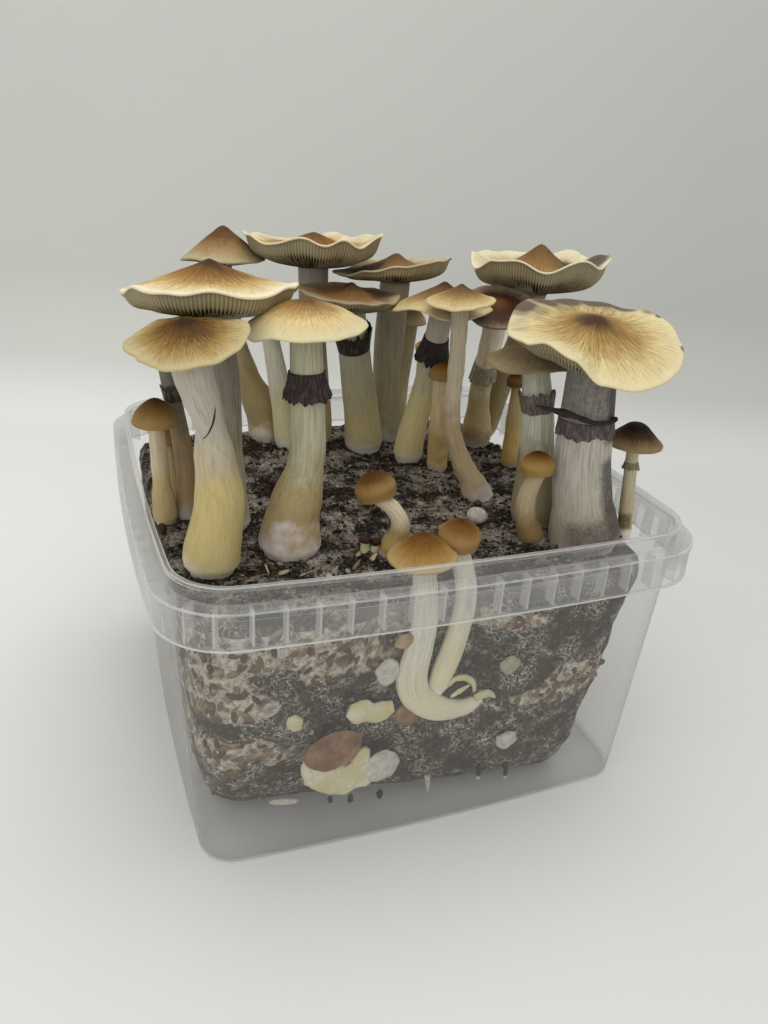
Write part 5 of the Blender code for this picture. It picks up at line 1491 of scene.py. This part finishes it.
# Spore crust: black-brown spores caked on torn veil and in creases
spore_crust, tree = new_finish("caked_black_spores")
where = add(tree, "TexCoord").outputs["Object"]
cake = add(tree, "TexNoise", {"Vector": where, "Scale": 1000 / 1.5, "Detail": 5.0, "Roughness": 0.7})
shade = add(tree, "ValToRGB", {"Fac": cake}, [(0.36, "#0d0908"), (0.6, "#2a211f"), (0.75, "#4f4442")])
caked = add(tree, "BsdfPrincipled", {"Base Color": shade, "Roughness": 0.8})
add(tree, "OutputMaterial", {"Surface": caked})

add_group("creases_and_drips", [
    lump((4.6, -86.0, 61.5), (2.8, 1.3, 2.2), 20, 0.3, 4, 51),
    lump((8.2, -86.0, 58.6), (2.6, 1.2, 1.6), -20, 0.3, 4, 52),
    lump((1.6, -86.4, 59.0), (1.2, 0.9, 2.2), -30, 0.3, 3, 53),
    strand([(21.6, -80, 16.3), (22.0, -80.3, 13), (22.0, -80.4, 10)], [(0, 1.0), (1, 0.8)],
           1, 0.15, 54, 12, 12),
    strand([(33.7, -80, 13.6), (34.2, -80.3, 10), (34.4, -80.4, 7)], [(0, 1.1), (1, 0.8)],
           1, 0.15, 55, 12, 12),
    lump((-37.9, -76.5, 10.4), (1.0, 0.9, 1.6), 0, 0.4, 3, 56),
    lump((-29.8, -76.5, 8.6), (1.1, 0.9, 1.9), 0, 0.4, 3, 57),
    lump((-18.4, -77.5, 8.8), (1.1, 0.9, 2.2), 0, 0.4, 3, 58)],
    spore_crust)
add_group("foot_folds", [
    strand([(0.5, -86.8, 62.5), (3.5, -87.3, 65.2), (8.0, -87.3, 64.0), (10.8, -86.8, 60.5),
            (11.5, -86.4, 57.5)], [(0, 0.9), (0.5, 1.2), (1, 0.7)], 0.7, 0.25, 61),
    strand([(2.0, -86.8, 57.0), (5.5, -87.3, 59.6), (8.8, -87.3, 61.2)], [(0, 0.7), (0.5, 1.0), (1, 0.5)],
           0.7, 0.25, 62),
    strand([(12.0, -86.6, 54.2), (15.5, -86.8, 55.6), (18.5, -86.6, 54.6), (20.5, -86.4, 52.6)],
           [(0, 1.8), (0.5, 1.5), (1, 0.5)], 0.6, 0.3, 63)],
    pressed_flesh)


# Pins and torn veils
# Young mushrooms no larger than peas stand between the grown ones: three dark ones, a round white one
# and a pair with dark tops. A roll of torn veil hangs on one grown stem, and another has torn down its side.
add_group("dark_button_pin", [
    strand([(-39.5, 7, 98), (-39.3, 6.7, 101), (-39.2, 6.4, 104)], [(0, 2.4), (0.5, 1.7), (1, 1.9)],
           1, 0.08, 71),
    lump((-39.5, 6.2, 105.0), (2.7, 2.7, 2.1), 0, 0.08, 4, 72),
    lump((-88.0, -20.2, 101.5), (1.9, 1.9, 2.2), 0, 0.1, 3, 73),
    lump((40.1, -21.2, 99.8), (1.7, 1.7, 1.1), 0, 0.15, 3, 74)],
    dark_skin, "dark_pin")
# the white one is dimpled on top
dimple = lump((32.6, -35, 101.3), (4.2, 4.2, 3.2), 0, 0.05, 5, 75)
gap = np.linalg.norm(dimple[0][:, :2] - (33.0, -35.6), axis=1)
dimple[0][:, 2] -= 1.1 * np.exp(-(gap / 1.3) ** 2) * (dimple[0][:, 2] > 101.3)
add_group("white_button_pin", [dimple], white_down, "white_pin")
add_group("pale_pin_stalks", [
    strand([(-19.9, -50, 98), (-20.1, -50.2, 101), (-20.3, -50.4, 103.6)], [(0, 1.9), (1, 1.4)], 1, 0.08, 76),
    strand([(-16.8, -50.7, 98), (-16.6, -50.9, 100.6), (-16.4, -51, 102.4)], [(0, 1.7), (1, 1.3)],
           1, 0.08, 77)],
    pressed_flesh)
add_group("twin_pin_cups", [
    lump((-20.3, -50.4, 104.6), (2.2, 2.2, 1.7), 0, 0.12, 4, 78),
    lump((-16.4, -51.0, 103.3), (2.0, 2.0, 1.6), 0, 0.12, 4, 79)],
    dark_skin)
add_group("black_veil_roll", [
    strand([(36.5, -60, 154.5), (42.5, -63, 153.5), (49, -66, 152), (55, -68.9, 150.3), (61, -69.2, 150.2),
            (65.5, -67.0, 150.4)],
           [(0, 0.35), (0.15, 0.8), (0.3, 1.4), (0.45, 0.9), (0.9, 0.6), (0.96, 1.1), (1, 0.9)],
           1, 0.2, 81, 16, 70)],
    spore_crust)
add_group("stem_tears", [
    strand([(-74.1, -55.7, 164.1), (-73.6, -55.9, 160.3), (-73.7, -56.0, 156.5), (-74.4, -55.9, 152.7),
            (-76, -55.7, 149.5), (-77.2, -55.4, 148.3)], [(0, 0.15), (0.5, 0.35), (1, 0.15)],
           1, 0.1, 82, 10, 40),
    strand([(-75.2, -54.9, 144.9), (-73.1, -53.9, 142.4), (-71.6, -52.1, 139.3), (-70.7, -50.4, 135.8)],
           [(0, 0.15), (0.5, 0.35), (1, 0.15)], 1, 0.1, 83, 10, 40)],
    spore_crust)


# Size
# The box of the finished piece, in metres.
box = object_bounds()
